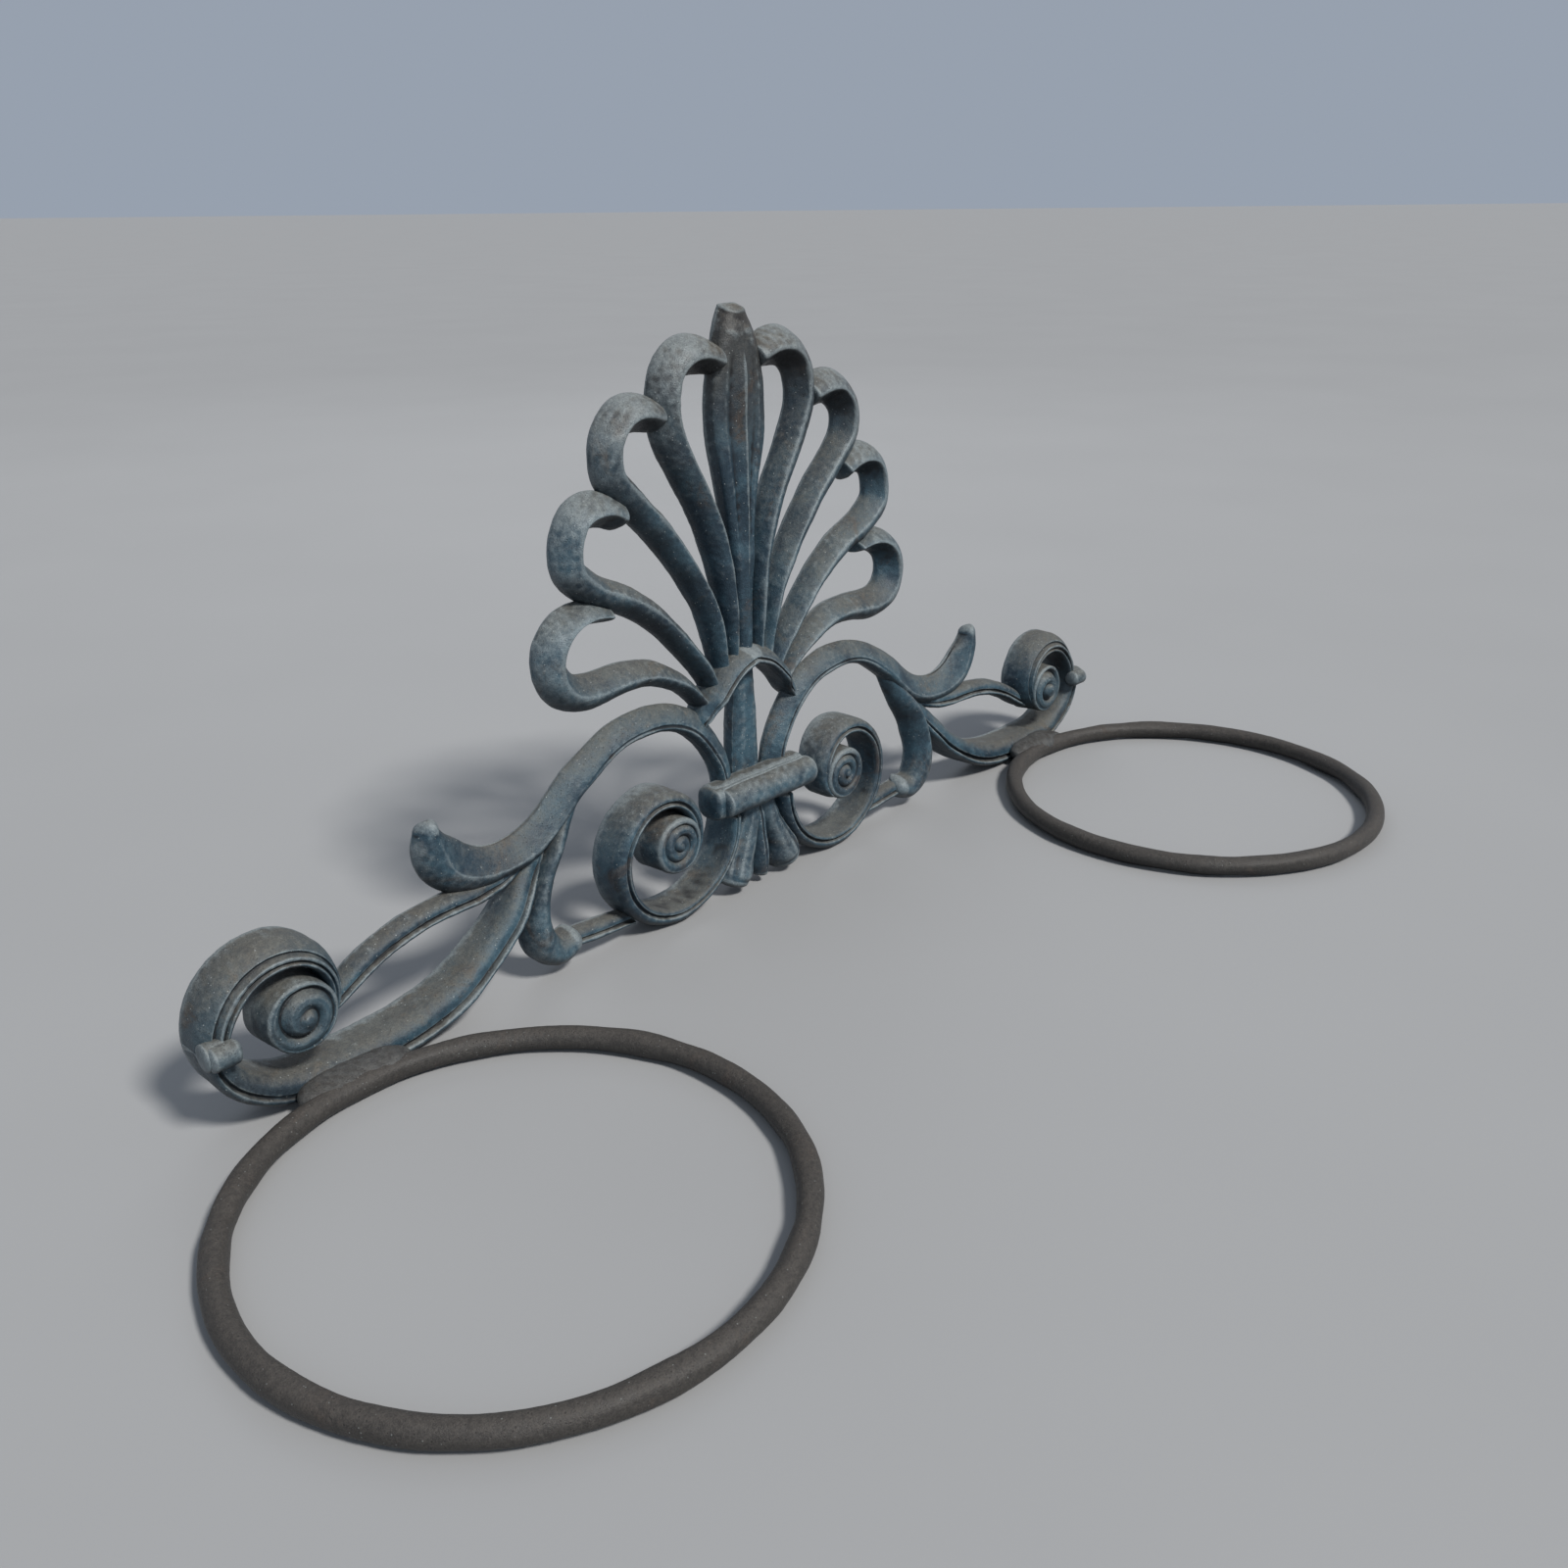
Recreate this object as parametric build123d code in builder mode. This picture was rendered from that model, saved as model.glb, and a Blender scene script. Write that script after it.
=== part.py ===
"""Cast-iron towel rack: a palmette-and-scroll back panel carrying two horizontal towel rings.

Units are millimetres. +Z is up, X runs along the panel, the wall is at +Y and the rings reach
out towards -Y. Z = 0 is the plane the rings and the volutes rest on. The panel ornaments are
laid out on a front view (x, z) of the right half and mirrored for the left half.
"""
from build123d import *
import math
import os

# ---- rings ---------------------------------------------------------------------------------
RING_R = 120.0           # centreline radius of a towel ring
BAR_R = 6.0              # radius of the round bar the ring is made of
RING_HALF_SPACING = 287.0  # panel centre to ring centre
WELD_GAP = 3.0           # ring back to rail front, filled by the weld

# ---- panel ---------------------------------------------------------------------------------
PANEL_HEIGHT = 333.0     # table to the tip of the centre leaf
DESIGN_HALF_SPACING = 287.0  # the outlines below are drawn for this half spacing ...
DESIGN_HEIGHT = 333.0    # ... and this height, and are stretched to the sizes above
RIM_D = 25.0             # wall face to the front of the scroll ribbons and rails
LEAF_D = 17.0            # wall face to the front ridge of the palmette and the arch
LEAF_SIDE_D = 7.0        # depth of the straight flank of a leaf before it slopes to the ridge
ARCH_INSET = 3.0         # the pointed arch stops this far behind the front of the ribbons
DROP_INSET = 2.0         # the drop leaves stop this far behind the front of the ribbons
ARCH_BACK_D = 5.0        # the arch and upper branch stand this far off the wall face
BOSS_D = 29.0            # wall face to the front of the volute bosses
STEM_D = 12.0            # wall face to the front of the centre stem
LOBE_D = 27.0            # wall face to the front of the pendant's outer lobes
LOBE_SIDE_D = 19.0       # wall face to where the outer lobes start to slope
TONGUE_D = 25.5          # wall face to the front of the pendant's middle tongue
COLLAR_R = 11.0          # radius of the half-round collar bar
COLLAR_D = 21.0          # wall face to the collar bar axis
COLLAR_BACK_D = 8.0      # wall face to the back of the collar bar
COLLAR_HALF = 42.0       # half length of the collar bar
COLLAR_Z = 62.5          # height of the collar bar axis

# ---- finishing sizes -----------------------------------------------------------------------
EDGE = 2.0               # slope on the front edges of ribbons and rails
RIDGE = 0.55             # front width of a leaf as a fraction of its back width
CENTER_RIDGE = 0.62      # same fraction for the centre leaf,
STEM_RIDGE = 0.85        # the centre stem,
ARCH_RIDGE = 0.6         # the pointed arch,
BAND_RIDGE = 0.75        # the arch leaves,
RIBBON_RIDGE = 0.58      # the spiral ribbons,
RAIL_RIDGE = 0.7         # the lower rails
SLIM_RIDGE = 0.6         # and the slender bars and lobes
BOSS_EYE = 0.45          # radius of a boss's raised eye as a fraction of the boss
RIDGE_SHIFTS = (0.2, 0.12, 0.0, -0.08)  # shift of each leaf ridge into its curl, same fraction

PANEL_DEPTH_ALL = RIM_D + WELD_GAP + 2 * (RING_R + BAR_R)
WALL_Y = PANEL_DEPTH_ALL / 2
RING_Y = WALL_Y - RIM_D - WELD_GAP - RING_R - BAR_R
SX = RING_HALF_SPACING / DESIGN_HALF_SPACING
SZ = PANEL_HEIGHT / DESIGN_HEIGHT

# ---- centrelines of the right half: (x, z, half width) -------------------------------------
CENTER_LEAF = [(0, 140, 5.2), (0, 172, 7), (0, 192, 8), (0, 212, 10), (0, 232, 12.2), (0, 250, 16),
               (0, 267, 19.2), (0, 282, 19.9), (0, 298, 18), (0, 316, 13.4), (0, 327, 8.8),
               (0, 333, 4.6)]
LEAVES = [
    [(10.5, 139, 3), (11.6, 163, 4), (13.4, 178, 4.8), (16.4, 195, 5.8), (21, 212, 6.8),
     (28, 229, 7.3), (37, 245.5, 7.8), (46.5, 262, 8.4), (52, 275, 8.8), (53, 287, 9),
     (50.2, 298, 9.6), (44.5, 306, 10.4), (36, 310, 10.8), (26, 309.5, 10), (14, 306.5, 8)],
    [(17.5, 136, 4.2), (23, 160, 5.2), (29, 177, 5.8), (37, 191, 6.4), (48, 207, 7),
     (60, 222, 7.6), (73, 235.5, 8.1), (84.5, 246.5, 8.6), (91, 255, 9), (92.6, 265, 8.8),
     (91, 273, 9.2), (86.5, 279.5, 9.8), (80, 284, 10.1), (71, 284.7, 9.8), (59, 282, 8.4)],
    [(24.5, 126, 4.4), (33, 141, 5), (41, 151, 5.5), (49.5, 160.5, 5.9), (58, 169.5, 6.3),
     (68, 178.5, 7), (79, 186.5, 7.7), (91, 193, 8.2), (104, 198.5, 8.6), (114.5, 205.5, 8.8),
     (120.7, 213, 8.8), (121.6, 221.5, 8.7), (120, 229.5, 8.7), (116, 236.3, 9), (108.5, 240, 9.5),
     (99, 240, 9.3), (88, 236, 8)],
    [(33.5, 120, 4.2), (48, 134.5, 5), (58, 141, 6), (69, 146, 6.8), (82, 148.6, 7.5),
     (97, 148.6, 8.4), (111, 147.4, 9.2), (124.5, 149, 9.8), (134, 156.5, 10), (137, 167, 9.8),
     (134.5, 177.5, 9.4), (127, 185, 8.6), (118, 188.3, 7.4), (110, 188.5, 6.4), (101, 187, 5)],
]
PALMETTE_ARCH = [(36, 113, 4.6), (31, 121, 4.8), (22, 131, 5), (12, 139, 5), (0, 143, 5.2)]
CENTER_STEM = [(0, 66, 11), (0, 100, 10), (0, 125, 8), (0, 141, 6.5)]
ARCH_LEAF = [(20, 68, 7), (22.5, 80, 7), (28, 91, 7.2), (36, 102.5, 7.4), (46, 112, 7.5),
             (57, 118, 7.5), (70, 121.5, 7.5), (84, 122.3, 7.3), (97, 120.7, 7), (109, 116.5, 7.3),
             (122, 109, 8), (134, 100.5, 8.5), (144, 91.5, 9), (154, 83.5, 9.4), (168, 77, 9.5),
             (183, 74.5, 10), (196, 75.5, 11.8), (208.5, 81, 13.2), (217.5, 90.5, 12.6),
             (221.5, 100, 8.6), (220.5, 107, 4.2), (218, 111.5, 1)]
DROP_LEAF = [(127, 98, 4), (138, 87, 4.6), (150, 74, 5), (158.6, 60, 5.6), (164, 45, 6.6),
             (164.6, 30, 7.8), (160.4, 18, 8.2), (153, 13, 7.8), (146.6, 15.4, 6.2)]
TIE_BAR = [(156, 16, 4.2), (132, 14, 4.2), (98, 11.4, 4.2)]
UPPER_BRANCH = [(188, 63, 5), (212, 64, 5.2), (228, 63, 5.2), (242, 60.5, 5.2), (256, 56, 5.2),
                (270, 49.5, 5.2), (283, 42, 5), (292, 37.5, 4.8)]
LOWER_RAIL = [(158, 72, 5.5), (172, 55, 6.3), (187, 39.5, 7), (207, 25, 7.5), (233, 13.5, 8),
              (262, 9, 8), (290, 8.5, 8), (313, 10.8, 7.6), (331.5, 20.5, 7), (342, 33.5, 6.2),
              (345, 46.5, 5.6)]
LOBE_MID = [(0, 56, 6.6), (0, 40, 6.6), (0, 22, 7), (0, 12, 6.8), (0, 6, 5.2), (0, 3.4, 2.6)]
LOBE_SIDE = [(7.6, 57, 7), (10.4, 42, 8.8), (15.6, 26, 11), (20.8, 14, 11.6), (24, 7.6, 8.6),
             (25.6, 4.2, 4)]

# ---- spirals: (turn, outer radius, half width) ---------------------------------------------
# turn 0 faces the panel centre and the ribbon runs under the eye from there
VOLUTE_EYE = (72, 50)
VOLUTE_TURNS = [(0.06, 53.4, 4.2), (0.15, 51.8, 4.6), (0.25, 50, 5), (0.375, 46.8, 4.9),
                (0.5, 42.5, 4.7), (0.625, 37.4, 4.6), (0.75, 31.6, 4.6), (0.875, 26, 4.4),
                (1.0, 21.4, 3.8), (1.125, 18.6, 3.4)]
VOLUTE_BOSS_R = 16.5
END_EYE = (306, 50)
END_TURNS = [(0.49, 44.6, 5.4), (0.55, 42.2, 6), (0.625, 39, 6.2), (0.75, 33.4, 5.8),
             (0.875, 28, 4.8), (1.0, 23.8, 4), (1.125, 21.4, 3.4), (1.25, 20.2, 3)]
END_BOSS_EYE = (304.6, 46.6)  # the coil hangs a little below the eye of its ribbon
END_BOSS_R = 18.0
END_BOSS_D = 32.0        # wall face to the front of the end bosses
END_COLLAR_R = 7.5       # binding roll where the rail meets the end scroll
END_COLLAR_HALF = 7.5    # its half length
END_COLLAR_IN = 1.5      # the roll sits this far inside the end of the rail

# ---- welds ---------------------------------------------------------------------------------
WELD_HALF = 25.0         # half length of a weld bead
WELD_R = 8.0             # its radius
WELD_ROUND = 4.8         # rounding of its ends


def level(depth):
    """Sketch plane standing `depth` in front of the wall face, extruding towards the front."""
    return Plane(origin=(0, WALL_Y - depth, 0), x_dir=(1, 0, 0), z_dir=(0, -1, 0))


def side_points(stations, widen, shift):
    """Offset a centreline to both sides by its half width times shift +/- widen."""
    pts = [(x * SX, z * SZ) for x, z, _ in stations]
    near, far = [], []
    for i, (x, z) in enumerate(pts):
        before, after = pts[max(i - 1, 0)], pts[min(i + 1, len(pts) - 1)]
        tx, tz = after[0] - before[0], after[1] - before[1]
        size = math.hypot(tx, tz)
        nx, nz = -tz / size, tx / size
        half = stations[i][2]
        near.append((x + nx * half * (shift + widen), z + nz * half * (shift + widen)))
        far.append((x + nx * half * (shift - widen), z + nz * half * (shift - widen)))
    return near, far


def strip_face(stations, widen=1.0, shift=0.0):
    """Closed outline of a strip: a spline down each side and a straight cut at each end."""
    near, far = side_points(stations, widen, shift)
    with BuildLine() as outline:
        Spline(*near)
        Line(near[-1], far[-1])
        Spline(*far[::-1])
        Line(far[0], near[0])
    make_face(outline.edges())


def strip(stations, back, flank, front, ridge=1.0, ridge_shift=0.0):
    """Bar that follows a centreline: straight flanks, then a slope up to a narrower front."""
    with BuildPart() as bar:
        with BuildSketch(level(back)):
            strip_face(stations)
        extrude(amount=flank - back)
        with BuildSketch(level(flank)):
            strip_face(stations)
        with BuildSketch(level(front)):
            strip_face(stations, ridge, ridge_shift)
        loft(ruled=True)
    return bar.part


def spiral_stations(eye, turns):
    """Centreline stations of a ribbon whose outer edge follows the (turn, radius, half) table."""
    stations = []
    for turn, outer, half in turns:
        angle = math.pi + 2 * math.pi * turn
        radius = outer - half
        stations.append((eye[0] + radius * math.cos(angle), eye[1] + radius * math.sin(angle), half))
    return stations


def largest(part):
    """Keep the biggest solid when trimming leaves slivers behind."""
    return max(part.solids(), key=lambda s: s.volume)


def trimmed(part, *neighbours):
    """Cut the neighbours out of a piece so that they meet face to face."""
    for other in neighbours:
        part = part - other
    return largest(part)


def boss(eye, radius, front):
    """Round boss with a slightly tapered body and a small raised eye."""
    with BuildPart() as body:
        with BuildSketch(level(ARCH_BACK_D)):
            with Locations((eye[0] * SX, eye[1] * SZ)):
                Circle(radius)
        with BuildSketch(level(front - EDGE)):
            with Locations((eye[0] * SX, eye[1] * SZ)):
                Circle(radius - EDGE)
        loft()
        with BuildSketch(level(front - EDGE)):
            with Locations((eye[0] * SX, eye[1] * SZ)):
                Circle(radius * BOSS_EYE)
        extrude(amount=EDGE)
    return body.part


def collar_bar():
    """Half-round bar with a ledge that binds the volutes, stem and pendant together."""
    with BuildPart() as bar:
        with BuildSketch(Plane(origin=(-COLLAR_HALF * SX, WALL_Y, COLLAR_Z * SZ),
                               x_dir=(0, 1, 0), z_dir=(1, 0, 0))):
            with Locations((-COLLAR_D, 0)):
                Circle(COLLAR_R)
            with Locations((-(COLLAR_D + COLLAR_BACK_D) / 2, 0)):
                Rectangle(COLLAR_D - COLLAR_BACK_D, 2 * COLLAR_R)
        extrude(amount=2 * COLLAR_HALF * SX)
        ends = bar.faces().filter_by(Axis.X).edges().filter_by(GeomType.CIRCLE)
        chamfer(ends, EDGE)
    return bar.part


def end_collar():
    """Short roll lying across the ribbon where the rail turns into the end scroll."""
    x, z, _ = LOWER_RAIL[-1]
    with BuildPart() as roll:
        start = x * SX - END_COLLAR_IN - END_COLLAR_HALF
        with BuildSketch(Plane(origin=(start, WALL_Y - RIM_D, z * SZ), x_dir=(0, 1, 0),
                               z_dir=(1, 0, 0))):
            Circle(END_COLLAR_R)
        extrude(amount=2 * END_COLLAR_HALF)
        fillet(roll.edges().filter_by(GeomType.CIRCLE), EDGE)
    return roll.part


def ring():
    """Towel ring: one turn of round bar lying flat."""
    with BuildPart() as loop:
        with Locations((RING_HALF_SPACING, RING_Y, BAR_R)):
            Torus(RING_R, BAR_R)
    return loop.part


def ring_weld():
    """Weld bead that fills the gap between the ring back and the rail front."""
    axis_y = WALL_Y - RIM_D - WELD_GAP / 2
    with BuildPart() as bead:
        with BuildSketch(Plane(origin=(RING_HALF_SPACING - WELD_HALF, axis_y, BAR_R + WELD_GAP),
                               x_dir=(0, 1, 0), z_dir=(1, 0, 0))):
            Circle(WELD_R)
        extrude(amount=2 * WELD_HALF)
        fillet(bead.edges().filter_by(GeomType.CIRCLE), WELD_ROUND)
    return bead.part


def both_sides(pieces, name, part):
    """Store a right-hand piece and its mirrored left-hand twin."""
    pieces[name.replace("*", "right")] = part
    pieces[name.replace("*", "left")] = mirror(part, about=Plane.YZ)


def build_palmette(pieces, bar):
    """Pointed arch, centre stem and the fan of nine leaves; returns arch, stem and last leaf."""
    front = RIM_D - ARCH_INSET
    arch_side = strip(PALMETTE_ARCH, 0, front - EDGE, front, ARCH_RIDGE)
    arch = largest(arch_side + mirror(arch_side, about=Plane.YZ))
    center = trimmed(strip(CENTER_LEAF, 0, LEAF_SIDE_D, LEAF_D, CENTER_RIDGE), arch)
    stem = trimmed(strip(CENTER_STEM, 0, STEM_D - EDGE, STEM_D, STEM_RIDGE), arch, bar)
    pieces["palmette_arch"] = arch
    pieces["palmette_center_leaf"] = center
    pieces["center_stem"] = stem
    inner = center
    for number, (stations, shift) in enumerate(zip(LEAVES, RIDGE_SHIFTS), start=1):
        leaf = trimmed(strip(stations, 0, LEAF_SIDE_D, LEAF_D, RIDGE, shift), inner, arch)
        both_sides(pieces, f"palmette_leaf_*_{number}", leaf)
        inner = leaf
    return arch, stem, inner


def build_volute(pieces, bar):
    """Large scrolls beside the pendant and their bosses; returns the right-hand ribbon."""
    line = spiral_stations(VOLUTE_EYE, VOLUTE_TURNS)
    volute = trimmed(strip(line, 0, RIM_D - EDGE, RIM_D, RIBBON_RIDGE), bar)
    both_sides(pieces, "volute_*", volute)
    both_sides(pieces, "volute_boss_*", trimmed(boss(VOLUTE_EYE, VOLUTE_BOSS_R, BOSS_D), volute))
    return volute


def build_arm(pieces, arch, volute):
    """Drop leaf, tie, lower rail, end scroll and upper branch; returns the right-hand rail."""
    front = RIM_D - DROP_INSET
    drop = trimmed(strip(DROP_LEAF, ARCH_BACK_D, front - EDGE, front, SLIM_RIDGE), arch, volute)
    both_sides(pieces, "drop_leaf_*", drop)
    tie = strip(TIE_BAR, ARCH_BACK_D, LEAF_D - EDGE, LEAF_D, SLIM_RIDGE)
    both_sides(pieces, "tie_bar_*", trimmed(tie, drop, volute))
    rail = trimmed(strip(LOWER_RAIL, 0, RIM_D - EDGE, RIM_D, RAIL_RIDGE), arch, drop)
    both_sides(pieces, "lower_rail_*", rail)
    line = spiral_stations(END_EYE, END_TURNS)
    scroll = trimmed(strip(line, 0, RIM_D - EDGE, RIM_D, RIBBON_RIDGE), rail)
    both_sides(pieces, "end_scroll_*", scroll)
    coil = trimmed(boss(END_BOSS_EYE, END_BOSS_R, END_BOSS_D), scroll)
    both_sides(pieces, "end_boss_*", coil)
    both_sides(pieces, "end_collar_*", trimmed(end_collar(), rail, scroll))
    branch = strip(UPPER_BRANCH, ARCH_BACK_D, LEAF_D - EDGE, LEAF_D, SLIM_RIDGE)
    both_sides(pieces, "upper_branch_*", trimmed(branch, arch, rail, scroll, coil))
    return rail


def build_panel(pieces):
    """Palmette, collar, volutes, arms and pendant of the back panel; returns the right rail."""
    bar = collar_bar()
    pieces["collar_bar"] = bar
    palmette_arch, stem, last_leaf = build_palmette(pieces, bar)
    volute = build_volute(pieces, bar)
    band = strip(ARCH_LEAF, ARCH_BACK_D, LEAF_D - 2 * EDGE, LEAF_D, BAND_RIDGE)
    arch = trimmed(band, bar, palmette_arch, stem, last_leaf)
    both_sides(pieces, "arch_leaf_*", arch)
    rail = build_arm(pieces, arch, volute)
    tongue = trimmed(strip(LOBE_MID, COLLAR_BACK_D, TONGUE_D - EDGE, TONGUE_D, SLIM_RIDGE), bar)
    pieces["pendant_center"] = tongue
    lobe = strip(LOBE_SIDE, COLLAR_BACK_D, LOBE_SIDE_D, LOBE_D, SLIM_RIDGE)
    both_sides(pieces, "pendant_*", trimmed(lobe, bar, tongue, volute))
    return rail


def build_rings(pieces, rail):
    """Towel rings and the welds that carry them."""
    loop = ring()
    both_sides(pieces, "ring_*", loop)
    both_sides(pieces, "ring_weld_*", trimmed(ring_weld(), loop, rail))


def main():
    os.makedirs("parts", exist_ok=True)
    pieces = {}
    rail = build_panel(pieces)
    build_rings(pieces, rail)
    for name, part in pieces.items():
        part.label = name
        export_step(part, f"parts/{name}.step")


if __name__ == "__main__":
    main()
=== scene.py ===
"""Cast-iron towel rack: sculpted ironwork, weathered finishes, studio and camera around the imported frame."""
import logging
import math
from dataclasses import dataclass, field
from enum import Enum
from typing import Any, Sequence, Union

import bpy
import numpy as np
from mathutils import Matrix, Vector


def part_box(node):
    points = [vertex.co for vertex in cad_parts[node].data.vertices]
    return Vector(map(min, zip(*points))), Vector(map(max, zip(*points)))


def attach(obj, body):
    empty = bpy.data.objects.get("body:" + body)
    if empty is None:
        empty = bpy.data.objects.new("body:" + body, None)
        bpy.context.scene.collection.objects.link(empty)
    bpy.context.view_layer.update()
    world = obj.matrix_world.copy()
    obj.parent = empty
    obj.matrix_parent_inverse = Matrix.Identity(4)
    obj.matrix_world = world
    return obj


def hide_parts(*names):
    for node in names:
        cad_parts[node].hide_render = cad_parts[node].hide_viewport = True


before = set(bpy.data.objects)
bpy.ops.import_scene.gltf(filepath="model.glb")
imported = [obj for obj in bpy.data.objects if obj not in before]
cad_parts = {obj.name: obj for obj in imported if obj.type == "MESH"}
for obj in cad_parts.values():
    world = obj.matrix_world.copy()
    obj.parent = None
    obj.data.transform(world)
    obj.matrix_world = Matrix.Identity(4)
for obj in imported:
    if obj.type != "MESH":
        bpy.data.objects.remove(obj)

Array = np.ndarray
Triple = tuple[float, float, float]
Key = Union[float, tuple[tuple[float, float], ...]]
Stations = Sequence[Triple]

log = logging.getLogger("towel_rack")
MM = 0.001               # the ironwork is drawn in millimetres, Blender works in metres
QUARTER_TURN, HALF_TURN, FULL_TURN = np.pi / 2, np.pi, 2 * np.pi
MIRROR = np.array([-1.0, 1.0, 1.0])
DOME_TIP = 0.03          # share of the ring that is left at the tip of a dome
LEAST_WALL = 0.3         # least height of a strip's side wall
RAKE_START, RAKE_END = 0.08, 0.1   # share of a strip over which its slanted ends fade out
WAVE_SPREAD = (0.6, 1.5)           # how much the waves of an unevenness differ in length


class Side(Enum):
    """Half of the rack that a paired piece belongs to, with its sign along X."""

    RIGHT = 1
    LEFT = -1

    @property
    def word(self) -> str:
        """Name of the side as it stands in piece names."""
        return self.name.lower()


class Finish(Enum):
    """Finishes of the rack, by the record's material slot."""

    PANEL = "panel_iron"
    RING = "ring_iron"
    WELD = "weld_iron"


# ---- numbers along a line ------------------------------------------------------------------
def keyed(key: Key, at: Array) -> Array:
    """Value of a key along a strip: between two marks it eases as 3t^2 - 2t^3.

    Args:
        key: One number, or (place, value) marks with places from 0 to 1.
        at: Places along the strip, from 0 to 1.

    Returns:
        One value for each place.
    """
    if not isinstance(key, tuple):
        return np.full_like(at, float(key))
    places = np.array([k[0] for k in key])
    values = np.array([k[1] for k in key])
    i = np.clip(np.searchsorted(places, at, side="right") - 1, 0, len(key) - 2)
    t = np.clip((at - places[i]) / (places[i + 1] - places[i]), 0, 1)
    ease = t * t * (3 - 2 * t)
    return values[i] + (values[i + 1] - values[i]) * ease


def column(key: Key, at: Array) -> Array:
    """Values of a key along a strip, as a column."""
    return keyed(key, at)[:, None]


def natural_cubic(knots: Array, values: Array, at: Array) -> Array:
    """Smooth curve through values: cubic pieces whose slope and bend agree at each knot.

    Args:
        knots: Increasing places of the values.
        values: One row for each knot.
        at: Places to read the curve at.

    Returns:
        One row for each place.
    """
    n, h = len(knots), np.diff(knots)
    system, right = np.eye(n), np.zeros_like(values, dtype=float)
    i = np.arange(1, n - 1)
    system[i, i - 1], system[i, i], system[i, i + 1] = h[:-1], 2 * (h[:-1] + h[1:]), h[1:]
    slope = np.diff(values, axis=0) / h[:, None]
    right[1:-1] = 6 * np.diff(slope, axis=0)
    bend = np.linalg.solve(system, right)
    k = np.clip(np.searchsorted(knots, at, side="right") - 1, 0, n - 2)
    a, b, w = (knots[k + 1] - at)[:, None], (at - knots[k])[:, None], h[k][:, None]
    return (bend[k] * a**3 + bend[k + 1] * b**3) / (6 * w) \
        + (values[k] / w - bend[k] * w / 6) * a + (values[k + 1] / w - bend[k + 1] * w / 6) * b


def unit(v: Array) -> Array:
    """Rows scaled to length one."""
    return v / np.maximum(np.linalg.norm(v, axis=-1, keepdims=True), 1e-12)


def linked(name: str, data: Any) -> bpy.types.Object:
    """New object of the scene with the given mesh, light or camera."""
    new = bpy.data.objects.new(name, data)
    bpy.context.scene.collection.objects.link(new)
    return new


# ---- meshes --------------------------------------------------------------------------------
@dataclass
class Shell:
    """Closed surface as arrays: points in millimetres (x, y, z) and faces of four corners.

    A triangle repeats its last corner.
    """

    points: Array
    faces: Array

    def turned_out(self) -> "Shell":
        """Same shell with its faces pointing outwards: the signed volume of its faces is positive."""
        p = self.points
        a, b, c, d = (p[self.faces[:, k]] for k in range(4))
        volume = np.einsum("ij,ij->", a, np.cross(b, c)) + np.einsum("ij,ij->", a, np.cross(c, d))
        return self if volume > 0 else Shell(p, self.faces[:, ::-1].copy())

    def mirrored(self) -> "Shell":
        """Shell on the other side of the rack, faces turned back outwards."""
        return Shell(self.points * MIRROR, self.faces[:, ::-1].copy())

    def joined(self, other: "Shell") -> "Shell":
        """This shell and another as one."""
        return Shell(np.vstack([self.points, other.points]),
                     np.vstack([self.faces, other.faces + len(self.points)]))

    def normals(self) -> Array:
        """Unit normal of each point: the sum of the cross products of its faces' diagonals."""
        p, f = self.points, self.faces
        n = np.cross(p[f[:, 2]] - p[f[:, 0]], p[f[:, 3]] - p[f[:, 1]])
        total = np.zeros_like(p)
        for corner in range(4):
            for axis in range(3):
                total[:, axis] += np.bincount(f[:, corner], n[:, axis], len(p))
        return unit(total)

    def smoothed(self, rounds: int) -> Array:
        """Points moved to the mean of their neighbours, a number of times."""
        f = self.faces
        src = f.reshape(-1)
        dst = np.roll(f, -1, axis=1).reshape(-1)
        keep = src != dst
        src, dst = src[keep], dst[keep]
        count = np.maximum(np.bincount(src, minlength=len(self.points)), 1)
        p = self.points
        for _ in range(rounds):
            mean = np.stack([np.bincount(src, p[dst, axis], len(p)) for axis in range(3)], -1)
            p = 0.5 * p + 0.5 * mean / count[:, None]
        return p

    def relief(self, rounds: int = 14, span: float = 0.35) -> Array:
        """How far each point stands out of its smoothed surroundings, from -1 (groove) to 1 (edge)."""
        out = np.einsum("ij,ij->i", self.points - self.smoothed(rounds), self.normals())
        return np.clip(out / span, -1, 1)

    def pushed(self, distance: Array) -> "Shell":
        """Shell with each point moved along its normal by a distance."""
        return Shell(self.points + self.normals() * distance[:, None], self.faces)


def waves(points: Array, size: float, seed: int, count: int = 14) -> Array:
    """Smooth seeded unevenness from about -1 to 1: a sum of sine waves in random directions.

    Args:
        points: Places in millimetres.
        size: Typical distance between two crests.
        seed: Seed of the directions and phases.
        count: Number of waves.

    Returns:
        One value for each place.
    """
    draw = np.random.default_rng(seed)
    way = unit(draw.normal(size=(count, 3))) * (FULL_TURN / size)
    way *= draw.uniform(*WAVE_SPREAD, (count, 1))
    phase = draw.uniform(0, FULL_TURN, count)
    return np.sin(points @ way.T + phase).sum(1) / math.sqrt(count)


def grid_faces(rings: int, around: int, first: int = 0) -> Array:
    """Faces of a tube of rings, each closed on itself."""
    r, v = np.meshgrid(np.arange(rings - 1), np.arange(around), indexing="ij")
    a, b = r * around + v, r * around + (v + 1) % around
    return first + np.stack([a, b, b + around, a + around], -1).reshape(-1, 4)


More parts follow.
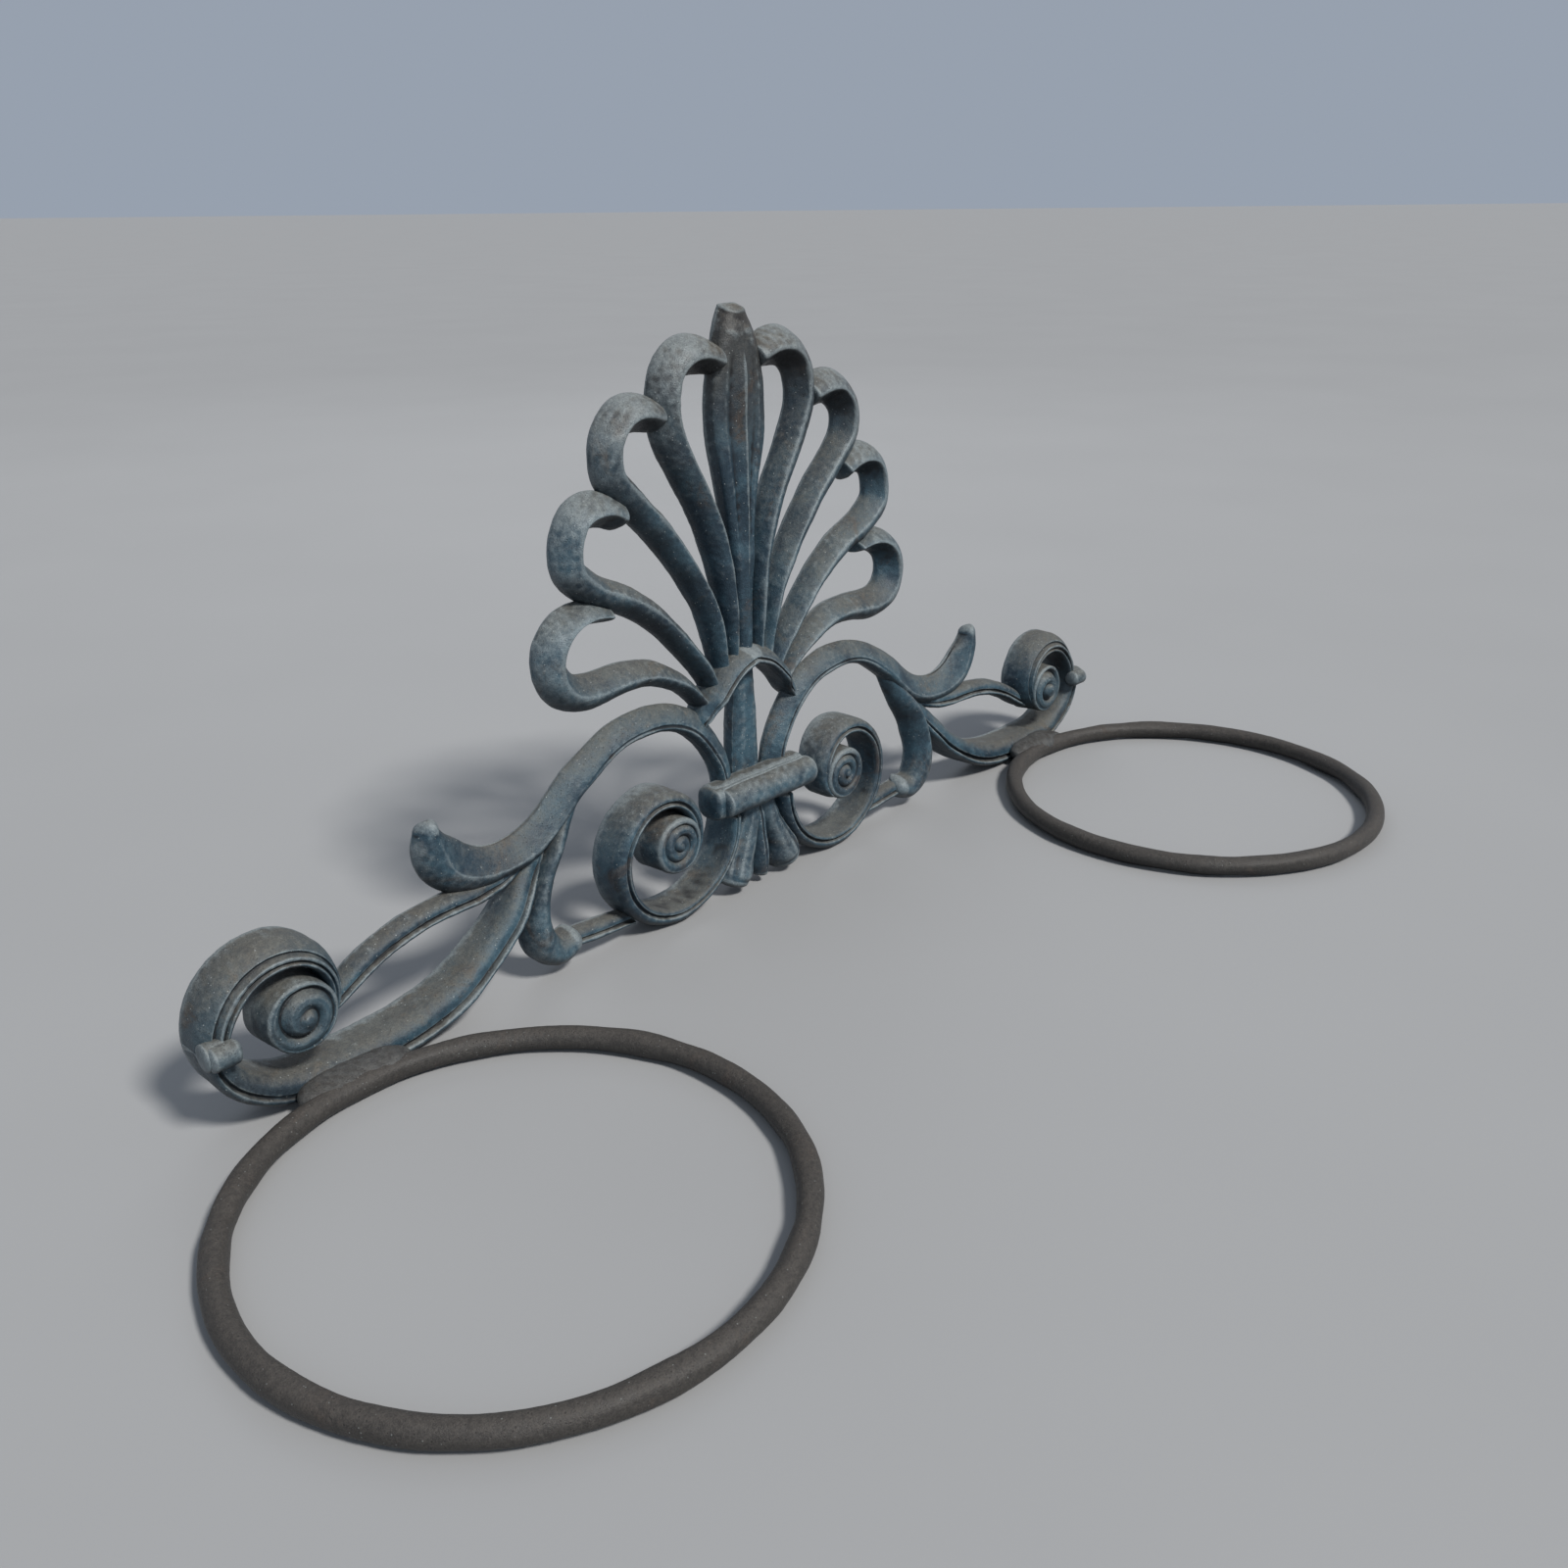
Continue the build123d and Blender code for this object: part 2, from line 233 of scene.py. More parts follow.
def closed_tube(rings: Array) -> Shell:
    """Tube through rings of points, each end closed with a fan to its own middle.

    Args:
        rings: Points as (ring, place around, 3).

    Returns:
        The closed shell, pointing outwards.
    """
    count, around = rings.shape[:2]
    points = np.vstack([rings.reshape(-1, 3), rings[0].mean(0), rings[-1].mean(0)])
    v = np.arange(around)
    after, last = (v + 1) % around, (count - 1) * around
    start, end = np.full(around, count * around), np.full(around, count * around + 1)
    fans = np.vstack([np.stack([after, v, start, start], -1),
                      np.stack([v + last, after + last, end, end], -1)])
    return Shell(points, np.vstack([grid_faces(count, around), fans])).turned_out()


def domed(rings: Array, at_end: bool, length: float, blunt: float, steps: int = 9) -> Array:
    """Rings that close one end of a tube with a dome.

    Each ring is the last one shrunk about its middle by s and moved out by length times l, where
    s^blunt + l^blunt = 1: 2 gives an ellipse, more gives a blunter end.
    """
    ring, before = (rings[-1], rings[-2]) if at_end else (rings[0], rings[1])
    middle = ring.mean(0)
    way = unit((middle - before.mean(0))[None])[0]
    angle = np.linspace(0, QUARTER_TURN, steps + 1)[1:]
    shrink = np.cos(angle) ** (2 / blunt)
    reach = np.sin(angle) ** (2 / blunt)
    shrink[-1] = DOME_TIP
    cap = middle + (ring - middle)[None] * shrink[:, None, None] + way * length * reach[:, None, None]
    return np.concatenate([rings, cap]) if at_end else np.concatenate([cap[::-1], rings])


# ---- the section of a strip ----------------------------------------------------------------
@dataclass(frozen=True)
class Bead:
    """Raised bead or sunk groove along a strip: place and half width across it, and height."""

    at: float
    half: float
    height: Key
    round: bool = True

    def rise(self, across: Array, along: Array) -> Array:
        """Height over the strip: half a circle if round, else a cosine hump."""
        x = np.clip((across - self.at) / self.half, -1, 1)
        hump = np.sqrt(1 - x * x) if self.round else 0.5 + 0.5 * np.cos(HALF_TURN * x)
        return column(self.height, along) * hump


@dataclass(frozen=True)
class Section:
    """Section of a strip across its line; depths are from the wall face, across runs from -1 to 1.

    The front is flank + (ridge - flank) * (1 - r^power)^root, where r is the distance from the
    ridge as a share of the distance from the ridge to that side, past a flat share in the middle.
    """

    back: Key = 0.0
    ridge: Key = 17.0
    flank_far: Key = 4.0
    flank_near: Key = 4.0
    shift: Key = 0.0
    flat: Key = 0.0
    power_far: Key = 2.0
    power_near: Key = 2.0
    root_far: Key = 0.5
    root_near: Key = 0.5
    hollow: Key = 0.0
    lean: Key = 0.0
    corner: float = 1.5
    beads: tuple[Bead, ...] = ()
    front_count: int = 45

    @classmethod
    def even(cls, ridge: Key, flank: Key, power: Key, root: Key, **rest: Any) -> "Section":
        """Section whose two sides are alike."""
        return cls(ridge=ridge, flank_far=flank, flank_near=flank, power_far=power, power_near=power,
                   root_far=root, root_near=root, **rest)

    def loop(self, along: Array, half: Array) -> tuple[Array, Array]:
        """Closed loop of the section at each place along the strip.

        Args:
            along: Places along the strip, from 0 to 1.
            half: Half width there in millimetres.

        Returns:
            Place across and depth, each as (place along, place around).
        """
        back, ridge = column(self.back, along), column(self.ridge, along)
        shift, flat = column(self.shift, along), column(self.flat, along)
        far, near = column(self.flank_far, along), column(self.flank_near, along)
        u = np.sin(np.linspace(-QUARTER_TURN, QUARTER_TURN, self.front_count))[None, :]
        left = u < shift
        reach = np.where(left, (shift - u) / (1 + shift), (u - shift) / (1 - shift))
        reach = np.clip((reach - flat) / (1 - flat), 0, 1)
        flank = np.where(left, far, near)
        power = np.where(left, column(self.power_far, along), column(self.power_near, along))
        root = np.where(left, column(self.root_far, along), column(self.root_near, along))
        front = flank + (ridge - flank) * (1 - reach**power) ** root
        for bead in self.beads:
            front = front + bead.rise(u, along)
        u = np.broadcast_to(u, front.shape)
        corner = np.minimum(self.corner, np.minimum(far, near) - back - LEAST_WALL)
        wall, turn = np.linspace(1, 0, 6)[1:], np.linspace(0, QUARTER_TURN, 4)[1:]
        inset = corner / half[:, None]
        hollow = column(self.hollow, along) * np.sin(HALF_TURN * wall)[None]
        down_near = back + corner + (near - back - corner) * wall[None]
        down_far = back + corner + (far - back - corner) * wall[None]
        round_u = 1 - inset * (1 - np.cos(turn))[None]
        round_d = back + corner * (1 - np.sin(turn))[None]
        flat_u = (1 - inset) * np.linspace(1, -1, 9)[None, 1:-1]
        across = np.concatenate([u, 1 - hollow, round_u, flat_u, -round_u[:, ::-1],
                                 -np.ones_like(down_far[:, ::-1])], 1)
        depth = np.concatenate([front, down_near, round_d, back + 0 * flat_u, round_d[:, ::-1],
                                down_far[:, ::-1]], 1)
        lean = column(self.lean, along) / half[:, None]
        across = across - lean * (1 - (depth - back) / np.maximum(ridge - back, 1))
        return across, depth


@dataclass(frozen=True)
class End:
    """How a strip ends: length of its dome, how blunt it is, and how far its front lags its back."""

    length: float = 0.0
    blunt: float = 2.5
    rake: float = 0.0


@dataclass(frozen=True)
class Strip:
    """Bar that follows a line on the panel, with a section that changes along it."""

    stations: Stations
    section: Section
    rings: int = 150
    start: End = End()
    end: End = End()

    def edges(self) -> tuple[Array, Array, Array]:
        """Far and near edge of the strip and its places along, both edges as smooth curves.

        An edge runs through each station moved sideways by its half width, square to the line
        between the station's neighbours.
        """
        table = np.array(self.stations, float)
        line, half = table[:, :2], table[:, 2:]
        way = np.empty_like(line)
        way[1:-1] = line[2:] - line[:-2]
        way[0], way[-1] = line[1] - line[0], line[-1] - line[-2]
        side = unit(way)[:, ::-1] * np.array([-1.0, 1.0])
        knots = np.concatenate([[0], np.cumsum(np.linalg.norm(np.diff(line, axis=0), axis=1))])
        at = np.linspace(0, knots[-1], self.rings)
        both = natural_cubic(knots, np.hstack([line - side * half, line + side * half]), at)
        return both[:, :2], both[:, 2:], at / knots[-1]

    def grid(self, wall: float) -> Array:
        """Rings of points in millimetres (x, y, z), with y measured back from the wall face."""
        far, near, along = self.edges()
        half = np.linalg.norm(near - far, axis=1) / 2
        across, depth = self.section.loop(along, half)
        middle, reach = (near + far) / 2, (near - far) / 2
        flat = middle[:, None] + reach[:, None] * across[..., None]
        way = unit(np.gradient(middle, axis=0))
        lag = self.start.rake * np.clip(1 - along / RAKE_START, 0, 1) - self.end.rake * np.clip(
            (along - (1 - RAKE_END)) / RAKE_END, 0, 1)
        ridge = column(self.section.ridge, along)
        flat = flat + way[:, None] * (lag[:, None] * (depth / ridge - 0.5))[..., None]
        return np.stack([flat[..., 0], wall - depth, flat[..., 1]], -1)

    def shell(self, wall: float) -> Shell:
        """Closed shell of the strip with its domed ends."""
        rings = self.grid(wall)
        if self.end.length:
            rings = domed(rings, True, self.end.length, self.end.blunt)
        if self.start.length:
            rings = domed(rings, False, self.start.length, self.start.blunt)
        return closed_tube(rings)


def spiral(eye: tuple[float, float], turns: Stations, steps: int = 40) -> list[Triple]:
    """Stations of a ribbon that winds round an eye.

    Args:
        eye: Middle of the winding.
        turns: (turn, outer radius, half width); turn 0 faces the rack's middle and runs under the eye.
        steps: Number of stations.

    Returns:
        Stations (x, z, half width).
    """
    table = np.array(turns, float)
    at = np.linspace(table[0, 0], table[-1, 0], steps)
    outer, half = natural_cubic(table[:, 0], table[:, 1:], at).T
    angle, radius = HALF_TURN + FULL_TURN * at, outer - half
    line = np.stack([eye[0] + radius * np.cos(angle), eye[1] + radius * np.sin(angle), half], -1)
    return [tuple(row) for row in line]


@dataclass(frozen=True)
class Snail:
    """Round boss whose face is a coil: a cord that winds in to a raised eye.

    The face at radius r and angle a rises with 1 - r/R, and a groove runs where
    (R - r) / pitch + a / one turn is a whole number, fading out at the eye and at the rim.
    """

    eye: tuple[float, float]
    radius: float
    foot: float
    front: float
    pitch: float
    groove: float
    rise: float
    phase: float
    eye_size: float
    rim: float
    back: float = 5.0
    around: int = 132
    cord: float = 0.85
    cord_power: float = 1.7
    cone_power: float = 0.8
    eye_rise: float = 0.8
    eye_clear: float = 0.55
    rim_fade: float = 1.6
    rim_groove: float = 0.15
    centre: float = 0.012

    def shell(self, wall: float) -> Shell:
        """Closed shell: a back disc, a tapered wall, a rounded rim and the coiled face."""
        angle = np.linspace(0, FULL_TURN, self.around, endpoint=False)[None]
        walls, face = np.linspace(0, 1, 12)[:, None], np.linspace(1, self.centre, 46)[:, None]
        rim, level = self.rim, 0 * angle
        wall_r = self.foot + (self.radius - self.foot) * walls + level
        wall_d = self.back + (self.front - rim - self.back) * walls + level
        inner = (self.radius - rim) * face
        wound = (self.radius - inner) / self.pitch + angle / FULL_TURN + self.phase
        off = np.abs(wound - np.round(wound)) * 2
        cord = 1 - (1 - np.clip(off / self.cord, 0, 1)) ** self.cord_power
        fade = np.clip((inner - self.eye_size * self.eye_clear) / self.eye_size, 0, 1) * np.clip(
            (self.radius - rim - inner) / self.rim_fade + self.rim_groove, 0, 1)
        hump = 1 - inner / (self.radius - rim)
        eye = np.clip(1 - (inner / self.eye_size) ** 2, 0, 1)
        face_d = self.front + self.rise * hump**self.cone_power - self.groove * (1 - cord) * fade \
            + self.eye_rise * eye
        bend = np.linspace(0, QUARTER_TURN, 8)[1:-1, None]
        rim_r = self.radius - rim * (1 - np.cos(bend)) + level
        rim_d = self.front - rim * (1 - np.sin(bend)) + level
        r = np.concatenate([wall_r[:1] * 0.02, wall_r[:1] * 0.6, wall_r, rim_r, inner + level])
        d = np.concatenate([wall_d[:1], wall_d[:1], wall_d, rim_d, face_d])
        x, z = self.eye[0] + r * np.cos(angle), self.eye[1] + r * np.sin(angle)
        return closed_tube(np.stack([x, wall - d, z], -1))


# ---- ironwork ------------------------------------------------------------------------------
@dataclass
class Foundry:
    """Turns shells into finished pieces: casting unevenness, attributes, material, frame calls."""

    wall: float
    finishes: dict[Finish, bpy.types.Material]
    lump: float = 0.35
    lump_size: float = 26.0
    fine: float = 0.1
    fine_size: float = 6.0
    depth: float = 0.6
    made: list[bpy.types.Object] = field(default_factory=list)
    shells: list[Shell] = field(default_factory=list)

    def cast(self, name: str, shape: Union[Shell, Strip, Snail], node: str, finish: Finish = Finish.PANEL,
             lump: float = 1.0) -> bpy.types.Object:
        """Make one piece that stands for a CAD node.

        Args:
            name: Name of the piece.
            shape: Its shape in millimetres.
            node: CAD node that it replaces.
            finish: Its finish.
            lump: Share of the usual unevenness.

        Returns:
            The new object.
        """
        shell = shape if isinstance(shape, Shell) else shape.shell(self.wall)
        seed = sum(map(ord, node))
        uneven = self.lump * waves(shell.points, self.lump_size, seed) \
            + self.fine * waves(shell.points, self.fine_size, seed + 1)
        shell = shell.pushed(lump * uneven * self.depth)
        data = bpy.data.meshes.new(name)
        triangle = shell.faces[:, 2] == shell.faces[:, 3]
        faces = [tuple(f[:3]) if t else tuple(f) for f, t in zip(shell.faces.tolist(), triangle)]
        data.from_pydata((shell.points * MM).tolist(), [], faces)
        data.polygons.foreach_set("use_smooth", np.ones(len(faces), bool))
        relief = data.attributes.new("relief", "FLOAT", "POINT")
        relief.data.foreach_set("value", shell.relief().astype(np.float32))
        data.update()
        piece = linked(name, data)
        data.materials.append(self.finishes[finish])
        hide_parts(node)
        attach(piece, "root")
        self.made.append(piece)
        self.shells.append(shell)
        log.info("%s: %d points, %d faces", name, len(shell.points), len(faces))
        return piece

    def pair(self, name: str, shape: Union[Shell, Strip, Snail], node: str) -> None:
        """Make the right-hand piece and its mirrored twin; * stands for the side in both names."""
        shell = shape if isinstance(shape, Shell) else shape.shell(self.wall)
        for side in Side:
            self.cast(name.replace("*", side.word), shell if side is Side.RIGHT else shell.mirrored(),
                      node.replace("*", side.word))

    def crowd(self, cell: float = 3.0, lift: float = 3.2) -> None:
        """Give every point the attribute crowd: how much iron stands close in front of it.

        The points of all pieces, each weighted by its share of area, are counted in cells and
        spread to the neighbouring cells; the count is read a little way out along the normal.
        """
        points = np.vstack([s.points for s in self.shells])
        low = points.min(0) - 6 * cell
        shape = tuple(np.ceil((points.max(0) - low) / cell).astype(int) + 7)
        room = np.zeros(int(np.prod(shape)))
        for shell in self.shells:
            f, p = shell.faces, shell.points
            area = np.linalg.norm(np.cross(p[f[:, 2]] - p[f[:, 0]], p[f[:, 3]] - p[f[:, 1]]), axis=1) / 8
            share = sum(np.bincount(f[:, k], area, len(p)) for k in range(4))
            room += np.bincount(self.cells(p, low, cell, shape), share, len(room))
        room = room.reshape(shape)
        for axis in range(3):
            room = (np.roll(room, 1, axis) + 2 * room + np.roll(room, -1, axis)) / 4
        for piece, shell in zip(self.made, self.shells):
            ahead = shell.points + shell.normals() * lift
            seen = room.reshape(-1)[self.cells(ahead, low, cell, shape)] / cell**2
            for _ in range(2):
                seen = Shell(np.repeat(seen[:, None], 3, 1), shell.faces).smoothed(3)[:, 0]
            crowd = piece.data.attributes.new("crowd", "FLOAT", "POINT")
            crowd.data.foreach_set("value", np.clip(seen, 0, 2).astype(np.float32))

    @staticmethod
    def cells(points: Array, low: Array, cell: float, shape: tuple[int, ...]) -> Array:
        """Number of the cell that each point lies in."""
        place = np.clip(((points - low) / cell).astype(int), 0, np.array(shape) - 1)
        return np.ravel_multi_index(place.T, shape)


LEAF_LINES: tuple[Stations, ...] = (
    ((10.5, 139, 3), (11.6, 163, 4), (13.4, 178, 4.8), (16.4, 195, 5.8), (21, 212, 6.8), (28, 229, 7.3),
     (37, 245.5, 7.8), (46.5, 262, 8.4), (52, 275, 8.8), (53, 287, 9), (50.2, 298, 9.6),
     (44.5, 306, 10.4), (36, 310, 10.8), (26, 309.5, 10), (16, 306.5, 8)),
    ((17.5, 136, 4.2), (23, 160, 5.2), (29, 177, 5.8), (37, 191, 6.4), (48, 207, 7), (60, 222, 7.6),
     (73, 235.5, 8.1), (84.5, 246.5, 8.6), (91, 255, 9), (92.6, 265, 8.8), (91, 273, 9.2),
     (86.5, 279.5, 9.8), (80, 284, 10.1), (71, 284.7, 9.8), (60, 282, 8.4)),
    ((24.5, 126, 4.4), (33, 141, 5), (41, 151, 5.5), (49.5, 160.5, 5.9), (58, 169.5, 6.3),
     (68, 178.5, 7), (79, 186.5, 7.7), (91, 193, 8.2), (104, 198.5, 8.6), (114.5, 205.5, 8.8),
     (120.7, 213, 8.8), (121.6, 221.5, 8.7), (120, 229.5, 8.7), (116, 236.3, 9), (108.5, 240, 9.5),
     (99, 240, 9.3), (89, 236, 8)),
    ((33.5, 120, 4.2), (48, 134.5, 5), (58, 141, 6), (69, 146, 6.8), (82, 148.6, 7.5), (97, 148.6, 8.4),
     (111, 147.4, 9.2), (124.5, 149, 9.8), (134, 156.5, 10), (137, 167, 9.8), (134.5, 177.5, 9.4),
     (127, 185, 8.6), (118, 188.3, 7.4), (110, 188.5, 6.4), (102, 187, 5)),
)


@dataclass
class Palmette:
    """Fan of nine leaves and the pointed arch that they spring from."""

    center_line: Stations = ((0, 140, 5.2), (0, 172, 7), (0, 192, 8), (0, 212, 10), (0, 232, 12.2),
                             (0, 250, 16), (0, 267, 19.2), (0, 282, 19.9), (0, 298, 18), (0, 316, 13.4),
                             (0, 326, 9.4), (0, 330.5, 7))
    arch_line: Stations = ((41, 108, 3.2), (36.5, 113.5, 4.4), (31, 121, 4.8), (22, 131, 5.2),
                           (12, 138.7, 5.4), (0, 143, 5.6))

    def center_leaf(self) -> Strip:
        """Broad leaf with a raised front panel, bevelled sides and a slanted tip."""
        rib = ((0.0, 0.0), (0.28, 0.3), (0.46, 2.5), (0.82, 2.5), (0.94, 0.0), (1.0, 0.0))
        crest = ((0.0, 0.0), (0.3, 0.2), (0.46, 0.7), (0.82, 0.6), (0.92, 0.0), (1.0, 0.0))
        dip = ((0.0, 0.0), (0.30, -0.3), (0.48, -1.2), (0.84, -1.2), (0.93, 0.0), (1.0, 0.0))
        tongue = ((0.0, 0.0), (0.62, 0.0), (0.74, 1.7), (0.9, 1.5), (1.0, 0.0))
        beads = (Bead(0.03, 0.32, rib, False), Bead(0.03, 0.07, crest, False), Bead(-0.42, 0.22, dip, False),
                 Bead(0.46, 0.22, dip, False), Bead(-0.40, 0.42, tongue, False))
        section = Section.even(
            ridge=((0, 14.5), (0.3, 14.2), (0.5, 12.6), (0.84, 12.8), (0.94, 13.6), (1, 11.0)),
            flank=((0, 6), (0.4, 7.5), (0.6, 8.8), (0.9, 8.4), (1, 7)),
            power=((0, 1.8), (0.5, 4.2), (0.84, 4.0), (1, 2.6)), root=0.62, beads=beads, front_count=91)
        return Strip(self.center_line, section, 170, end=End(2.2, 3.0, 4.0))

    def leaf(self, number: int) -> Strip:
        """One side leaf: a stem with a soft ridge that rolls over into a blunt hook.

        Args:
            number: 1 beside the centre leaf, up to 4 at the bottom.

        Returns:
            Its strip on the right half.
        """
        shift = (0.42, 0.36, 0.2, 0.0)[number - 1]
        hook = (0.66, 0.66, 0.66, 0.6)[number - 1]
        section = Section(
            ridge=((0, 14.5), (0.15, 16.5), (hook, 16.4), (0.93, 17.2), (1, 16.2)),
            flank_far=((0, 6), (hook, 4.5), (0.88, 2.6), (1, 3.0)),
            flank_near=((0, 7), (hook, 5.5), (0.84, 3.4), (1, 3.2)),
            shift=((0, 0.15), (0.25, shift), (hook, shift), (0.84, 0.16), (1, 0.1)),
            power_far=((0, 1.7), (hook, 1.75), (0.85, 1.6), (1, 1.7)),
            power_near=((0, 1.3), (hook, 1.25), (0.84, 0.92), (0.95, 1.0), (1, 1.3)),
            root_far=((0, 0.62), (hook, 0.6), (0.88, 0.7), (1, 0.6)),
            root_near=((0, 0.7), (hook, 0.75), (0.84, 1.05), (0.95, 0.95), (1, 0.7)))
        return Strip(LEAF_LINES[number - 1], section, 170, end=End(2.2, 3.6))

    def arch(self, wall: float) -> Shell:
        """Pointed arch: the right limb and its mirror image meet in one ring in the middle."""
        beads = (Bead(0.66, 0.28, 1.5), Bead(0.26, 0.18, -1.3, False))
        section = Section(ridge=((0, 13), (0.16, 15.5), (0.4, 20.2), (1, 20.6)),
                          flank_far=((0, 9), (0.3, 12)), flank_near=((0, 10), (0.16, 12), (0.4, 16)),
                          shift=0.15, power_far=1.5, power_near=3.2, root_far=0.75, root_near=0.7,
                          beads=beads, front_count=61)
        right = Strip(self.arch_line, section, 60).grid(wall)
        right = right[right[..., 0].min(1) > 0.35]
        right = np.concatenate([right, right[-1:] + (right[-1:] - right[-2:-1]) * 1.5])
        right[-1, :, 0] = 0.0
        left = right[::-1][1:] * MIRROR
        return closed_tube(np.concatenate([right, left]))

    def build(self, foundry: Foundry) -> None:
        """Cast the arch, the centre leaf and the four pairs of side leaves."""
        foundry.cast("arch_of_palmette", self.arch(foundry.wall), "palmette_arch")
        foundry.cast("center_leaf", self.center_leaf(), "palmette_center_leaf")
        for number in range(1, 5):
            foundry.pair(f"leaf_*_{number}", self.leaf(number),
                         f"palmette_leaf_*_{number}")


@dataclass
class Binding:
    """Collar roll, centre stem and the three-lobed pendant in the middle of the rack."""

    collar_z: float = 62.5
    collar_half: float = 42.0
    collar_front: float = 32.0
    roll: float = 8.7

    def bar(self, wall: float, middle: float, sizes: tuple[float, float], power: float,
            span: tuple[float, float], rounds: tuple[float, float], swell: float = 0.0) -> Shell:
        """Bar along X whose section is |y/a|^power + |z/b|^power = 1.

        Towards each end the section is shrunk as sqrt(1 - e^2.4), where e runs over the length of
        that end's rounding.

        Args:
            wall: Y of the wall face.
            middle: Depth of the bar's middle line.
            sizes: Half depth a and half height b.
            power: 2 for an oval, more for a block.
            span: Left and right end.
            rounds: Length of the rounding at the left and at the right end.
            swell: Extra thickness in the middle, as a share.

        Returns:
            The closed shell.
        """
        angle = np.linspace(0, FULL_TURN, 72, endpoint=False)
        front, up = np.cos(angle), np.sin(angle)
        reach = 1 / (np.abs(front / sizes[0]) ** power + np.abs(up / sizes[1]) ** power) ** (1 / power)
        t = np.sin(np.linspace(-QUARTER_TURN, QUARTER_TURN, 110)) * 0.5 + 0.5
        x = span[0] + (span[1] - span[0]) * t
        left = np.clip(1 - (x - span[0]) / rounds[0], 0, 0.999)
        right = np.clip(1 - (span[1] - x) / rounds[1], 0, 0.999)
        size = np.sqrt(1 - np.maximum(left, right) ** 2.4) * (1 + swell * np.sin(HALF_TURN * t))
        deep, high = size[:, None] * (reach * front), size[:, None] * (reach * up)
        ring_x = np.broadcast_to(x[:, None], deep.shape)
        return closed_tube(np.stack([ring_x, wall - middle - deep, self.collar_z + high], -1))

    def collar(self, wall: float) -> Shell:
        """Round roll, rounded at its right end, lying on a longer, taller ledge."""
        ledge = self.bar(wall, 15.4, (7.6, 10.4), 3.6, (-self.collar_half + 1.0, self.collar_half - 4.0),
                         (5.0, 3.0))
        roll = self.bar(wall, self.collar_front - self.roll, (self.roll, self.roll), 2.0,
                        (-self.collar_half + 6.0, self.collar_half), (3.0, 5.5), 0.02)
        lip = self.bar(wall, 22.0, (2.4, 9.4), 3.0, (-self.collar_half + 7.5, self.collar_half - 5.5),
                       (1.4, 1.6))
        block = self.bar(wall, 17.0, (10.0, 9.7), 3.0, (-self.collar_half + 0.6, -self.collar_half + 15),
                         (3.4, 6.0))
        return ledge.joined(roll).joined(lip).joined(block)

    def stem(self) -> Strip:
        """Flat-fronted stem under the arch."""
        section = Section.even(ridge=12.0, flank=8, power=1.8, root=0.9, flat=0.35)
        return Strip(((0, 64, 11), (0, 100, 10), (0, 125, 8), (0, 143, 6.5)), section, 60)

    def lobe(self) -> Strip:
        """Middle lobe of the pendant: a narrow tongue set back between its neighbours."""
        groove = Bead(0.0, 0.22, ((0, -1.2), (0.6, -1.0), (1, 0)), False)
        section = Section.even(ridge=((0, 20), (0.3, 23), (0.8, 25.6), (1, 24.4)), flank=13, power=2.0,
                               root=0.55, back=8, beads=(groove,), front_count=61)
        return Strip(((0, 52, 6), (0, 40, 6.2), (0, 24, 6.6), (0, 12, 6.8), (0, 6.5, 5.6)), section, 90,
                     end=End(3.2, 2.2))

    def side_lobe(self) -> Strip:
        """Outer lobe of the pendant: a petal that meets its twin above the tongue and flares."""
        section = Section(back=8, ridge=((0, 22.5), (0.35, 24.6), (0.7, 26.4), (0.92, 28.2), (1, 27.0)),
                          flank_far=((0, 14), (0.6, 14), (1, 17)),
                          flank_near=((0, 14), (0.6, 14), (1, 17)),
                          shift=((0, 0.0), (0.5, -0.25), (1, -0.1)), power_far=((0, 2.4), (0.6, 1.7), (1, 2)),
                          power_near=((0, 2.2), (1, 2.0)), root_far=0.6, root_near=0.62,
                          beads=(Bead(0.5, 0.26, ((0, 0), (0.4, -0.7), (0.9, -0.9), (1, 0)), False),))
        return Strip(((5.5, 57, 7), (7.8, 46, 8.0), (11.5, 35, 9.0), (16, 25, 10.6), (20.4, 15.5, 12.2),
                      (23.4, 9, 11.4)), section, 110, end=End(4.6, 2.3))

    def build(self, foundry: Foundry) -> None:
        """Cast the collar, the stem and the pendant."""
        foundry.cast("collar_roll", self.collar(foundry.wall), "collar_bar")
        foundry.cast("stem", self.stem(), "center_stem")
        foundry.cast("pendant_middle_lobe", self.lobe(), "pendant_center")
        foundry.pair("pendant_lobe_*", self.side_lobe(), "pendant_*")


